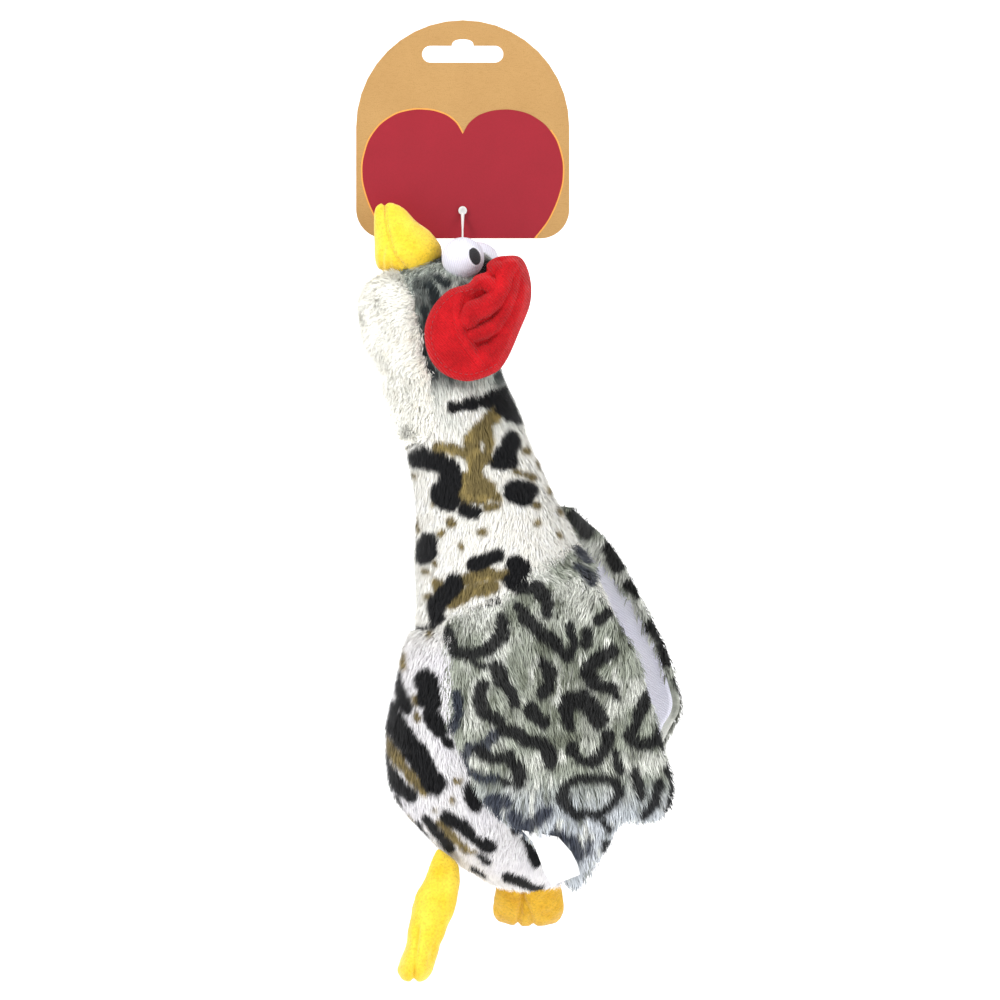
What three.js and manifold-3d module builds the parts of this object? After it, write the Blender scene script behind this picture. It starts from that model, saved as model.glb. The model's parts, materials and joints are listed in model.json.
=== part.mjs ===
// Plush squeaky bird for a dog, hanging by a tag pin from a slotted retail card.
// Millimetres, +Z up. The bird faces -X, so its left side is at -Y and its right side at +Y.
// The origin is the centre of the hanging slot, halfway through the card, and the bird hangs in front.
import * as THREE from 'three';
import { mergeVertices } from 'three/addons/utils/BufferGeometryUtils.js';
import Module from 'manifold-3d';

// ---- driving dimensions ----
const gap = 0.3; // between two pieces that touch
const bodySides = 24; // facets round the stuffed body
const legSides = 14;

const cardWidth = 84;
const cardHeight = 86;
const cardThickness = 0.8;
const cardCornerRadius = 11.5;
const slotWidth = 32;
const slotHeight = 6.6;
const slotBumpWidth = 8.6;
const slotBumpRise = 2.6;
const slotDrop = 13.4; // from the top of the card to the middle of the slot
const pinHoleRadius = 1.5;
const pinHoleRise = 11; // above the bottom edge of the card
const cardToMiddle = 16; // from the bird's middle plane to the front of the card

const pinRingRadius = 1.7;
const pinRingThickness = 1.1;
const pinPegRadius = 0.8;
const pinPaddleWidth = 5.2;
const pinPaddleHeight = 8.6;
const pinPaddleThickness = 0.9;
const filamentRadius = 0.35;
const pinShaftRadius = 0.75;
const pinShaftLength = 8.6;
const barLength = 10;
const barRadius = 0.5;
const barPlay = 0.5; // room round the bar inside the crown
const threadPlay = 0.4; // room each side of the thread
const threadRoomFront = 4.5;
const threadRoomBack = 6;
const threadRoomRise = 12;
const hangDrop = 19; // from the card's pin hole down to the bar inside the head

const birdHeight = 266; // from the bar to the toes
const birdWidth = 99; // across the belly, along X
const birdDepth = 78; // across the belly, along Y
const furThickness = 3; // backing and flattened pile
const liningThickness = 1;
const wingFurThickness = 3.4;
const wingClearance = 0.6; // between the belly fur and a wing's lining

const eyeRadius = 8.2;
const pupilTilt = 0.45;
const pupilWidth = 4.8;
const pupilHeight = 6.8;
const pupilThickness = 0.5;
const combLayerThickness = 2;
const combOffMiddle = 1.2; // the comb is sewn this far left of the middle seam
const wingOffMiddle = 6;
const legWall = 1.4;
const legClearance = 3.2; // the legs hang this far off the belly fur

const squeakerRadius = 19;
const squeakerDepth = 20;
const squeakerWall = 1;
const squeakerTravel = 6;
const reedRadius = 5;
const reedLength = 11;
const reedWall = 1;
const reedFlange = 1.6; // how far the flange stands out past the reed's tube
const reedFlangeThickness = 0.8;

const labelWidth = 13;
const labelLength = 21;
const labelThickness = 0.4;
const labelX = 28; // where the label is sewn into the wing's hem
const labelZ = -232;
const labelTurn = 22;
const labelOff = 1.6; // from the wing's pile to the label

// ---- how the driving dimensions place a point on the bird ----
const shapeHeight = 266; // the outlines below are drawn for these three sizes
const shapeWidth = 99;
const shapeDepth = 78;
const sx = birdWidth / shapeWidth;
const sy = birdDepth / shapeDepth;
const sz = birdHeight / shapeHeight;
const at = (x, z) => new THREE.Vector2(x * sx, z * sz);

const thinnest = 0.8; // a stuffed form's section is never narrower than this from its middle line
const far = 400; // past every piece

const wasm = await Module();
wasm.setup();

// ---- solids ----
function toSolid(geometry) {
  const bare = geometry.clone();
  bare.deleteAttribute('normal');
  bare.deleteAttribute('uv');
  const merged = mergeVertices(bare, 1e-4);
  return new wasm.Manifold(new wasm.Mesh({
    numProp: 3,
    vertProperties: new Float32Array(merged.attributes.position.array),
    triVerts: new Uint32Array(merged.index.array),
  }));
}

function toGeometry(solid) {
  const mesh = solid.getMesh();
  const geometry = new THREE.BufferGeometry();
  geometry.setAttribute('position', new THREE.BufferAttribute(mesh.vertProperties, 3));
  geometry.setIndex(new THREE.BufferAttribute(mesh.triVerts, 1));
  return geometry;
}

function cloth(color, roughness = 0.95) {
  return new THREE.MeshStandardMaterial({ color, roughness, metalness: 0 });
}

function piece(name, solid, material) {
  const mesh = new THREE.Mesh(toGeometry(solid), material);
  mesh.name = name;
  return mesh;
}

function block(x0, x1, y0, y1, z0, z1) {
  const box = new THREE.BoxGeometry(x1 - x0, y1 - y0, z1 - z0);
  box.translate((x0 + x1) / 2, (y0 + y1) / 2, (z0 + z1) / 2);
  return toSolid(box);
}

// A flat outline in the XZ plane, thickened along Y from y0 to y1.
function slab(outline, y0, y1) {
  const shape = outline instanceof THREE.Shape ? outline : new THREE.Shape(outline);
  const geometry = new THREE.ExtrudeGeometry(shape, {
    depth: y1 - y0, bevelEnabled: false, steps: 1, curveSegments: 6,
  });
  geometry.rotateX(Math.PI / 2);
  geometry.translate(0, y1, 0);
  return toSolid(geometry);
}

// A smooth closed outline through hand-placed points.
function smooth(points, steps) {
  const curve = new THREE.SplineCurve([...points, points[0]]);
  return curve.getPoints(steps).slice(0, -1);
}

// A section of a stuffed form at height z: [z, left, right, half depth], between the listed ones.
function sectionAt(form, z) {
  const below = form.findIndex((row) => row[0] <= z);
  if (below === 0) return form[0].slice(1);
  if (below < 0) return form[form.length - 1].slice(1);
  const [zHigh, ...high] = form[below - 1];
  const [zLow, ...low] = form[below];
  const t = (zHigh - z) / (zHigh - zLow);
  return high.map((value, i) => value + (low[i] - value) * t);
}

// An upright stuffed form from zTop down to zBottom. Inset shrinks it all round; a minus sign grows it.
function stuffed(form, zTop, zBottom, inset = 0, sides = bodySides) {
  const top = zTop - inset;
  const bottom = zBottom + inset;
  const between = form.map((row) => row[0]).filter((z) => z < top - thinnest && z > bottom + thinnest);
  const heights = [top, ...between, bottom];
  const positions = [];
  for (const z of heights) {
    const [left, right, depth] = sectionAt(form, Math.min(Math.max(z, zBottom), zTop));
    const middle = (left + right) / 2;
    const halfWidth = Math.max((right - left) / 2 - inset, thinnest);
    const halfDepth = Math.max(depth - inset, thinnest);
    for (let k = 0; k < sides; k += 1) {
      const turn = (2 * Math.PI * k) / sides;
      positions.push(
        (middle + halfWidth * Math.cos(turn)) * sx,
        halfDepth * Math.sin(turn) * sy,
        z * sz,
      );
    }
  }
  const index = [];
  for (let ring = 0; ring + 1 < heights.length; ring += 1) {
    for (let k = 0; k < sides; k += 1) {
      const a = ring * sides + k;
      const b = ring * sides + ((k + 1) % sides);
      index.push(a, a + sides, b, b, a + sides, b + sides);
    }
  }
  const last = (heights.length - 1) * sides;
  for (let k = 1; k + 1 < sides; k += 1) {
    index.push(0, k, k + 1);
    index.push(last, last + k + 1, last + k);
  }
  const geometry = new THREE.BufferGeometry();
  geometry.setAttribute('position', new THREE.Float32BufferAttribute(positions, 3));
  geometry.setIndex(index);
  return toSolid(geometry);
}

// A whole form, swollen by the given amount.
function grown(form, by) {
  return stuffed(form, form[0][0], form[form.length - 1][0], -by);
}

const leftHalf = block(-far, far, -far, -gap / 2, -far, far);
const rightHalf = block(-far, far, gap / 2, far, -far, far);

// ---- the bird's form: height below the hanging bar, front edge, back edge, half depth ----
const body = [
  [2.5, -5, 10, 6],
  [-3.5, -14.5, 17, 14],
  [-10, -33, 19, 19.5],
  [-16.5, -41, 19.2, 22],
  [-27, -40, 18.2, 23.5],
  [-42, -34, 17, 24],
  [-55, -29.2, 21, 24.5],
  [-64, -27, 25, 25],
  [-77, -24, 31, 26],
  [-95, -20.8, 39, 28],
  [-113, -20.8, 48, 30.5],
  [-130, -20.4, 57, 33],
  [-144, -20.2, 62.5, 35],
  [-150, -24, 63.8, 36],
  [-164, -27.5, 66.4, 38],
  [-181, -31.8, 67.3, 39],
  [-198, -31.8, 65.7, 38.5],
  [-208, -30.2, 62.5, 36.5],
  [-217, -25, 58, 33],
  [-225, -17.5, 53.5, 29],
  [-233, -9, 49, 23],
  [-240, 0.5, 45.2, 17],
  [-247.5, 16, 40, 8],
];
const crown = 2.5;
const headEnd = -56;
const neckEnd = -145;
const tailEnd = -247.5;
const innerGap = furThickness + gap;

const grownSkin = stuffed(body, crown, tailEnd, -gap);
const hollow = stuffed(body, crown, tailEnd, furThickness);
const innerForm = stuffed(body, crown, tailEnd, innerGap);

function furTube(zTop, zBottom) {
  return stuffed(body, zTop, zBottom).subtract(hollow);
}

function filling(zTop, zBottom) {
  return innerForm.intersect(block(-far, far, -far, far, zBottom * sz, zTop * sz));
}

// White throat panel: a U of fur round the front of the head and the upper neck.
const throatEdge = [
  at(-25, -5), at(-22.1, -10.4), at(-19, -15.5), at(-17, -24.2), at(-15.5, -30.8),
  at(-14.3, -39.5), at(-12.3, -47), at(-11.6, -55.5), at(-9.6, -69), at(-11.2, -73.5),
  at(-60, -73.5), at(-60, -5),
];
const throatZone = slab(throatEdge, -far, far);
const throatZoneGrown = slab(
  throatEdge.map((p) => new THREE.Vector2(p.x + gap, p.y > at(0, -70).y ? p.y : p.y - gap)),
  -far,
  far,
);

// ---- beak ----
const beakForm = [
  [21.6, -34, -25.5, 3.4],
  [16, -34.8, -20, 7.2],
  [9.5, -34.8, -11.8, 9.6],
  [2, -34.8, -8.6, 11.4],
  [-5, -33, -12, 12],
  [-10.2, -26, -19, 7.5],
];
const mouthLine = [at(-30.4, 30), at(-30.4, 21), at(-29.2, 10.3), at(-22.5, -7.7), at(-21.5, -20)];
const beakBlock = grown(beakForm, 0).subtract(grownSkin);
const beakFront = slab([...mouthLine, at(-60, -20), at(-60, 30)], -far, far);
const beakBack = slab(
  [...mouthLine.map((p) => new THREE.Vector2(p.x + gap, p.y)), at(60, -20), at(60, 30)],
  -far,
  far,
);

// ---- eyes ----
const leftEyeAt = new THREE.Vector3(0.2 * sx, -12.2 * sy, -0.6 * sz);
const rightEyeAt = new THREE.Vector3(6.1 * sx, 9.8 * sy, -1.8 * sz);
const beakGrown = grown(beakForm, gap);

function ball(radius, centre) {
  const geometry = new THREE.SphereGeometry(radius, 18, 10);
  geometry.rotateX(Math.PI / 2);
  geometry.translate(centre.x, centre.y, centre.z);
  return toSolid(geometry);
}

function eyeball(centre) {
  return ball(eyeRadius, centre).subtract(grownSkin).subtract(beakGrown);
}

// An oval patch that lies on the eyeball, looking along the given direction.
function pupil(centre, direction, tilt) {
  const oval = new THREE.CylinderGeometry(0.5, 0.5, eyeRadius, 14);
  oval.rotateX(Math.PI / 2);
  oval.scale(pupilWidth, pupilHeight, 1);
  oval.rotateZ(tilt);
  oval.translate(0, 0, eyeRadius);
  const turn = new THREE.Quaternion().setFromUnitVectors(new THREE.Vector3(0, 0, 1), direction);
  oval.applyQuaternion(turn);
  oval.translate(centre.x, centre.y, centre.z);
  const outer = ball(eyeRadius + gap + pupilThickness, centre);
  const inner = ball(eyeRadius + gap, centre);
  return toSolid(oval).intersect(outer).subtract(inner);
}

// ---- comb: two fleece layers sewn down the back of the head and lying over its left side ----
const combOutline = smooth([
  at(2.2, -10.8), at(9.6, -5.6), at(11.8, -1.2), at(16.3, 0.2), at(22.1, -0.2), at(25.6, -4),
  at(26.9, -11.2), at(26.3, -19), at(22.6, -28.5), at(17.4, -40.2), at(12.3, -45.7), at(1.8, -48.8),
  at(-7.6, -45.7), at(-13.2, -38.5), at(-14.6, -28.5), at(-11.5, -20), at(-5.3, -13.4),
], 48);
const combForm = [
  [10, -34, 29, 21],
  [-3, -42, 29.5, 23.5],
  [-16, -46, 29.5, 25.5],
  [-27, -46, 29, 26.5],
  [-42, -42, 27.5, 27],
  [-55, -38, 27, 27.5],
];

function combLayer(first) {
  const inner = grown(combForm, first);
  const outer = grown(combForm, first + combLayerThickness);
  const cut = slab(combOutline, -far, -combOffMiddle);
  return outer.subtract(inner).intersect(cut).subtract(grownSkin);
}

// ---- wings: printed fur outside and a smooth lining inside, sewn along the shoulder ----
const leftWingOutline = smooth([
  at(-5.7, -142.5), at(-6.9, -156), at(-6.9, -176), at(-1.5, -194.5), at(8.8, -213.9),
  at(22.9, -224.5), at(33.5, -234), at(42.5, -247.5), at(51.5, -238), at(58.6, -226.8),
  at(63.5, -219.5), at(69.5, -220.5), at(77.5, -218.6), at(82.1, -212), at(82.9, -203),
  at(79, -189), at(77.8, -181), at(73.5, -168), at(70, -155), at(59.8, -136.3),
  at(47.6, -120.5), at(35, -112.8), at(18, -113.5), at(3, -128),
], 72);
const rightWingOutline = smooth([
  at(-2, -128), at(-6, -150), at(-6, -172), at(0, -190), at(12, -206), at(26, -217), at(38, -232),
  at(46, -235), at(56, -219), at(66, -209), at(76, -203), at(80, -196), at(84.9, -184),
  at(89, -178), at(88.4, -170.4), at(82.1, -151.6), at(71.5, -130.8), at(61.7, -113.1),
  at(50.4, -101.5), at(38, -97.5), at(22, -101), at(8, -113),
], 72);
const wingForm = [
  [-80, -24, 84, 32.5],
  [-95, -27, 90, 33.5],
  [-113, -29, 97, 35.2],
  [-130, -30, 102, 38],
  [-144, -31, 105, 40],
  [-164, -35, 107, 42.5],
  [-198, -37, 108, 43],
  [-217, -36, 106, 41.5],
  [-235, -34, 102, 38.5],
  [-262, -30, 96, 34],
];
const liningFirst = wingClearance;
const wingFurFirst = liningFirst + liningThickness + gap;

function wingLayer(outline, side, first, thickness) {
  const inner = grown(wingForm, first);
  const outer = grown(wingForm, first + thickness);
  const y0 = side < 0 ? -far : wingOffMiddle;
  const y1 = side < 0 ? -wingOffMiddle : far;
  return outer.subtract(inner).intersect(slab(outline, y0, y1));
}

// ---- legs ----
const leftLegForm = [
  [-235.5, -10.8, -1, 5],
  [-241, -14, -1, 7],
  [-250, -19.3, -1.8, 8.5],
  [-256, -20.8, -3.2, 9],
  [-262, -21.6, -5, 9.5],
  [-269.5, -22.2, -8.4, 11],
  [-278, -24.6, -11.4, 13],
  [-283.5, -23.4, -16.8, 11.5],
];
const leftLegSideways = -13;
const rightLegForm = [
  [0, -6, 6, 4.5],
  [-8, -8, 8, 6],
  [-22, -10, 10, 6.8],
  [-34, -13, 13, 6.8],
  [-42, -15.5, 15.5, 6.2],
  [-46.5, -14, 14, 4.5],
];
const rightLegAt = new THREE.Vector3(26 * sx, 20 * sy, -232 * sz);
const rightLegTilt = THREE.MathUtils.degToRad(40);

// ---- squeaker ----
function cup(radius, depth, wall, lip) {
  const points = [
    new THREE.Vector2(0, 0), new THREE.Vector2(radius, 0), new THREE.Vector2(radius, depth),
    new THREE.Vector2(radius - wall, depth), new THREE.Vector2(radius - wall, lip), new THREE.Vector2(0, lip),
  ];
  return new THREE.LatheGeometry(points, 32);
}

const squeakerAt = new THREE.Vector3(18 * sx, 0, -186 * sz);
const capDepth = squeakerDepth - squeakerTravel;
const baseDepth = squeakerDepth - squeakerTravel - squeakerWall - gap;

function facingLeft(geometry) { // the lathe axis turns from +Y to point at the bird's right side
  geometry.translate(squeakerAt.x, squeakerAt.y - squeakerDepth / 2, squeakerAt.z);
  return toSolid(geometry);
}

function facingRight(geometry) {
  geometry.rotateX(Math.PI);
  geometry.translate(squeakerAt.x, squeakerAt.y + squeakerDepth / 2, squeakerAt.z);
  return toSolid(geometry);
}

const capSolid = facingLeft(cup(squeakerRadius, capDepth, squeakerWall, squeakerWall));
const reedPort = new THREE.CylinderGeometry(reedRadius + gap, reedRadius + gap, 4, 24);
reedPort.translate(squeakerAt.x, squeakerAt.y + squeakerDepth / 2, squeakerAt.z);
const baseSolid = facingRight(
  cup(squeakerRadius - squeakerWall - gap, baseDepth, squeakerWall, squeakerWall),
).subtract(toSolid(reedPort));

function reedInsert() {
  const flange = reedRadius + reedFlange;
  const tongue = reedLength / 2;
  const points = [
    new THREE.Vector2(reedWall, 0), new THREE.Vector2(flange, 0),
    new THREE.Vector2(flange, reedFlangeThickness), new THREE.Vector2(reedRadius, reedFlangeThickness),
    new THREE.Vector2(reedRadius, reedLength), new THREE.Vector2(reedRadius - reedWall, reedLength),
    new THREE.Vector2(reedRadius - reedWall, tongue), new THREE.Vector2(reedWall, tongue),
    new THREE.Vector2(reedWall, 0),
  ];
  const geometry = new THREE.LatheGeometry(points, 24);
  geometry.rotateX(Math.PI);
  const back = squeakerAt.y + squeakerDepth / 2 + reedFlangeThickness + gap;
  geometry.translate(squeakerAt.x, back, squeakerAt.z);
  return toSolid(geometry);
}

function pocketRound(radius, y0, y1) {
  const geometry = new THREE.CylinderGeometry(radius, radius, y1 - y0, 32);
  geometry.translate(squeakerAt.x, squeakerAt.y + (y0 + y1) / 2, squeakerAt.z);
  return toSolid(geometry);
}

// ---- hang card ----
function makeCard() {
  const half = cardWidth / 2;
  const top = slotDrop;
  const bottom = top - cardHeight;
  const arc = top - half;
  const r = cardCornerRadius;
  const shape = new THREE.Shape();
  shape.moveTo(half, arc);
  shape.absarc(0, arc, half, 0, Math.PI, false);
  shape.lineTo(-half, bottom + r);
  shape.absarc(-half + r, bottom + r, r, Math.PI, 1.5 * Math.PI, false);
  shape.lineTo(half - r, bottom);
  shape.absarc(half - r, bottom + r, r, 1.5 * Math.PI, 2 * Math.PI, false);
  const slot = new THREE.Path();
  const end = slotWidth / 2 - slotHeight / 2;
  const bump = slotBumpWidth / 2;
  slot.moveTo(-end, -slotHeight / 2);
  slot.lineTo(end, -slotHeight / 2);
  slot.absarc(end, 0, slotHeight / 2, -Math.PI / 2, Math.PI / 2, false);
  slot.lineTo(bump, slotHeight / 2);
  slot.quadraticCurveTo(bump, slotHeight / 2 + slotBumpRise, 0, slotHeight / 2 + slotBumpRise);
  slot.quadraticCurveTo(-bump, slotHeight / 2 + slotBumpRise, -bump, slotHeight / 2);
  slot.lineTo(-end, slotHeight / 2);
  slot.absarc(-end, 0, slotHeight / 2, Math.PI / 2, 1.5 * Math.PI, false);
  const hole = new THREE.Path();
  hole.absarc(0, bottom + pinHoleRise, pinHoleRadius, 0, 2 * Math.PI, true);
  shape.holes.push(slot, hole);
  const geometry = new THREE.ExtrudeGeometry(shape, {
    depth: cardThickness, bevelEnabled: false, curveSegments: 10,
  });
  geometry.rotateX(Math.PI / 2);
  geometry.translate(0, cardThickness / 2, 0);
  const mesh = new THREE.Mesh(geometry, new THREE.MeshStandardMaterial({
    color: 0xd9b070, roughness: 0.8, metalness: 0,
  }));
  mesh.name = 'hang_card';
  return mesh;
}

// ---- tag pin, drawn about the middle of the card's pin hole ----
const birdForward = cardToMiddle + cardThickness / 2;

function rod(radiusTop, radiusBottom, from, to, segments = 10) {
  const along = new THREE.Vector3().subVectors(from, to);
  const geometry = new THREE.CylinderGeometry(radiusTop, radiusBottom, along.length(), segments);
  const up = new THREE.Vector3(0, 1, 0);
  const turn = new THREE.Quaternion().setFromUnitVectors(up, along.clone().normalize());
  geometry.applyQuaternion(turn);
  const middle = new THREE.Vector3().addVectors(from, to).multiplyScalar(0.5);
  geometry.translate(middle.x, middle.y, middle.z);
  return toSolid(geometry);
}

function makePin() {
  const v = (x, y, z) => new THREE.Vector3(x, y, z);
  const front = -cardThickness / 2 - gap;
  const back = cardThickness / 2 + gap;
  const ringFront = front - pinRingThickness;
  const dimple = pinRingThickness / 2;
  const ring = rod(pinRingRadius, pinRingRadius, v(0, front, 0), v(0, ringFront, 0), 16)
    .subtract(rod(pinPegRadius, pinPegRadius, v(0, ringFront + dimple, 0), v(0, ringFront - dimple, 0)));
  const peg = rod(pinPegRadius, pinPegRadius, v(0, back + gap, 0), v(0, front - dimple / 2, 0));
  const paddle = block(
    -pinPaddleWidth / 2, pinPaddleWidth / 2, back, back + pinPaddleThickness,
    -pinPaddleHeight / 2, pinPaddleHeight / 2,
  );
  const shaftStart = v(0, (front + ringFront) / 2, -pinRingRadius + barRadius);
  const barMiddle = v(0, -birdForward, -hangDrop);
  const shaftEnd = shaftStart.clone().lerp(barMiddle, pinShaftLength / shaftStart.distanceTo(barMiddle));
  const threadStart = shaftEnd.clone().lerp(shaftStart, gap);
  const shaft = rod(pinShaftRadius, filamentRadius, shaftStart, shaftEnd);
  const thread = rod(filamentRadius, filamentRadius, threadStart, barMiddle, 8);
  const halfBar = v(barLength / 2, 0, 0);
  const bar = rod(barRadius, barRadius, barMiddle.clone().sub(halfBar), barMiddle.clone().add(halfBar));
  return ring.add(peg).add(paddle).add(shaft).add(thread).add(bar);
}

// ---- assembly ----
const product = new THREE.Group();
product.add(makeCard());

const pinHoleZ = slotDrop - cardHeight + pinHoleRise;
const nylon = new THREE.MeshStandardMaterial({ color: 0xf2f2ee, roughness: 0.3, metalness: 0 });
const pin = piece('tag_pin', makePin(), nylon);
pin.position.set(0, 0, pinHoleZ);
product.add(pin);

const bird = new THREE.Group();
bird.position.set(0, -birdForward, pinHoleZ - hangDrop);
product.add(bird);

const greyFur = cloth(0x8b9088);
const creamFur = cloth(0xe9e6dc);
const whiteFur = cloth(0xf4f1e6);
const yellowFleece = cloth(0xf2cf3c);
const mustardFleece = cloth(0xd8a72e);
const redFleece = cloth(0xc61f2c);
const whiteTricot = cloth(0xf3f3f6, 0.8);
const liningTricot = cloth(0xd9d9ee, 0.7);
const blackThread = cloth(0x15151a, 0.6);
const fibre = cloth(0xf5f5f5);
const squeakerPlastic = cloth(0xe8e4da, 0.45);
const satin = cloth(0xfafafa, 0.4);

// The bar and its thread need a way through the crown, and room to turn.
const barRoom = rod(
  barRadius + barPlay, barRadius + barPlay,
  new THREE.Vector3(-barLength / 2 - barPlay, 0, 0), new THREE.Vector3(barLength / 2 + barPlay, 0, 0),
);
const threadHalf = filamentRadius + threadPlay;
const threadRoom = block(-threadHalf, threadHalf, -threadRoomFront, threadRoomBack, 0, threadRoomRise);
const pinRoom = barRoom.add(threadRoom);

// head
const headShell = furTube(crown, headEnd).subtract(throatZoneGrown).subtract(pinRoom);
bird.add(piece('head_fur_left', headShell.intersect(leftHalf), greyFur));
bird.add(piece('head_fur_right', headShell.intersect(rightHalf), greyFur));
bird.add(piece('throat_panel', furTube(crown, neckEnd).intersect(throatZone), whiteFur));
bird.add(piece('head_stuffing', filling(crown, headEnd).subtract(pinRoom), fibre));
bird.add(piece('lower_beak', beakBlock.intersect(beakFront), yellowFleece));
bird.add(piece('upper_beak', beakBlock.intersect(beakBack), yellowFleece));
bird.add(piece('left_eye', eyeball(leftEyeAt), whiteTricot));
bird.add(piece('right_eye', eyeball(rightEyeAt), whiteTricot));
const leftGaze = new THREE.Vector3(0.62, -0.78, 0.03).normalize();
const rightGaze = new THREE.Vector3(0.25, 0.96, 0.08).normalize();
bird.add(piece('left_pupil', pupil(leftEyeAt, leftGaze, pupilTilt), blackThread));
bird.add(piece('right_pupil', pupil(rightEyeAt, rightGaze, -pupilTilt), blackThread));
bird.add(piece('comb_inner_layer', combLayer(0), redFleece));
bird.add(piece('comb_outer_layer', combLayer(combLayerThickness + gap), redFleece));

// neck
const neckShell = furTube(headEnd - gap, neckEnd).subtract(throatZoneGrown);
bird.add(piece('neck_fur_left', neckShell.intersect(leftHalf), creamFur));
bird.add(piece('neck_fur_right', neckShell.intersect(rightHalf), creamFur));
bird.add(piece('neck_stuffing', filling(headEnd - gap, neckEnd), fibre));

// belly
const bellyShell = furTube(neckEnd - gap, tailEnd);
bird.add(piece('belly_fur_left', bellyShell.intersect(leftHalf), creamFur));
bird.add(piece('belly_fur_right', bellyShell.intersect(rightHalf), creamFur));
const flangeRoom = squeakerDepth / 2 + reedFlangeThickness + 2 * gap;
const squeakerRoom = pocketRound(squeakerRadius + gap, -squeakerDepth / 2 - gap, squeakerDepth / 2 + gap)
  .add(pocketRound(reedRadius + reedFlange + 2 * gap, 0, flangeRoom));
const bellyFill = filling(neckEnd - gap, tailEnd).subtract(squeakerRoom);
bird.add(piece('belly_stuffing_left', bellyFill.intersect(leftHalf), fibre));
bird.add(piece('belly_stuffing_right', bellyFill.intersect(rightHalf), fibre));
bird.add(piece('squeaker_cap', capSolid, squeakerPlastic));
bird.add(piece('squeaker_base', baseSolid, squeakerPlastic));
bird.add(piece('squeaker_reed', reedInsert(), squeakerPlastic));

// wings
for (const [name, outline, side] of [['left', leftWingOutline, -1], ['right', rightWingOutline, 1]]) {
  const lining = wingLayer(outline, side, liningFirst, liningThickness);
  const fur = wingLayer(outline, side, wingFurFirst, wingFurThickness);
  bird.add(piece(`${name}_wing_lining`, lining, liningTricot));
  bird.add(piece(`${name}_wing_fur`, fur, greyFur));
}

// Each leg is two fleece halves round a core of stuffing.
function addLeg(name, form, group, material) {
  const top = form[0][0];
  const bottom = form[form.length - 1][0];
  const shell = stuffed(form, top, bottom, 0, legSides)
    .subtract(stuffed(form, top, bottom, legWall, legSides));
  const core = stuffed(form, top, bottom, legWall + gap, legSides);
  const bodyInLeg = group.userData.body;
  const front = shell.intersect(leftHalf).subtract(bodyInLeg);
  const back = shell.intersect(rightHalf).subtract(bodyInLeg);
  group.add(piece(`${name}_leg_outside`, name === 'left' ? front : back, material));
  group.add(piece(`${name}_leg_inside`, name === 'left' ? back : front, material));
  group.add(piece(`${name}_leg_stuffing`, core.subtract(bodyInLeg), fibre));
}

const legRoom = stuffed(body, crown, tailEnd, -legClearance);
const leftLeg = new THREE.Group();
leftLeg.position.set(0, leftLegSideways * sy, 0);
leftLeg.userData.body = legRoom.translate(0, -leftLegSideways * sy, 0);
addLeg('left', leftLegForm, leftLeg, yellowFleece);
bird.add(leftLeg);

const rightLeg = new THREE.Group();
rightLeg.position.copy(rightLegAt);
rightLeg.rotation.x = rightLegTilt;
rightLeg.userData.body = legRoom
  .translate(-rightLegAt.x, -rightLegAt.y, -rightLegAt.z)
  .rotate(-THREE.MathUtils.radToDeg(rightLegTilt), 0, 0);
addLeg('right', rightLegForm, rightLeg, mustardFleece);
bird.add(rightLeg);

// care label, sewn into the hem of the left wing
const labelBox = new THREE.BoxGeometry(labelLength, labelThickness, labelWidth);
labelBox.translate(labelLength / 2, 0, 0);
const label = new THREE.Mesh(labelBox, satin);
label.name = 'care_label';
const labelOut = sectionAt(wingForm, labelZ)[2] + wingFurFirst + wingFurThickness + labelOff;
label.position.set(labelX * sx, -labelOut * sy, labelZ * sz);
label.rotation.y = THREE.MathUtils.degToRad(labelTurn);
bird.add(label);

export default product;
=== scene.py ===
# Plush squeaky bird hanging from a slotted card by a nylon tag pin.
import json
import math

import bmesh
import bpy
import numpy as np
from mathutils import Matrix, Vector
from mathutils.bvhtree import BVHTree


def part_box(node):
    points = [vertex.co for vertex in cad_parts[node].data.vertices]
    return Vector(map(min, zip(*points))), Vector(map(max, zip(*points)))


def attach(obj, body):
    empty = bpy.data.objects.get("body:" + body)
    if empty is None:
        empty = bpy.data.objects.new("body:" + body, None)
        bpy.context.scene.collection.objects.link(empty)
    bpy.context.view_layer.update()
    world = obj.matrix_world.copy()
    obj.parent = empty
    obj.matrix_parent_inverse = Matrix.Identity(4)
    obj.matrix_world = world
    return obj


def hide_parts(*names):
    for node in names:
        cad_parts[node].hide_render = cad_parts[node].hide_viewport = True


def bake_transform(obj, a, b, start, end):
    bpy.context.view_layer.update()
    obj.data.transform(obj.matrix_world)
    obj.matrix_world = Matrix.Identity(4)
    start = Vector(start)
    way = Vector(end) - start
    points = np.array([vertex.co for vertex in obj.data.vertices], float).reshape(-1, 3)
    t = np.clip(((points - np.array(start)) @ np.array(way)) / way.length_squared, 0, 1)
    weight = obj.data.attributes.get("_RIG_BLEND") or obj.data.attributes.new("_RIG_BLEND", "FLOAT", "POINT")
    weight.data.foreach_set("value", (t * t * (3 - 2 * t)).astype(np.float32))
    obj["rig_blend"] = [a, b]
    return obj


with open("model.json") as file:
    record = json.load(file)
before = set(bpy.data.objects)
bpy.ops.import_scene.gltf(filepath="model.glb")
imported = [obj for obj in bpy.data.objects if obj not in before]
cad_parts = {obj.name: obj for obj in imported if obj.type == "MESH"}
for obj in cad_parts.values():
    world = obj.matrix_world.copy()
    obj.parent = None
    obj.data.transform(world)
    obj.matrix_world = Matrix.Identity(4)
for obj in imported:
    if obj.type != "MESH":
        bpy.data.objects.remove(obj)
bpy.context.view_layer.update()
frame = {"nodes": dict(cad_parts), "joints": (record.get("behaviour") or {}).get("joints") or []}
mm = 0.001
scene = bpy.context.scene


def jointAt(name):
    return np.array(next(j for j in frame["joints"] if j["name"] == name)["pos_m"], float)


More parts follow.
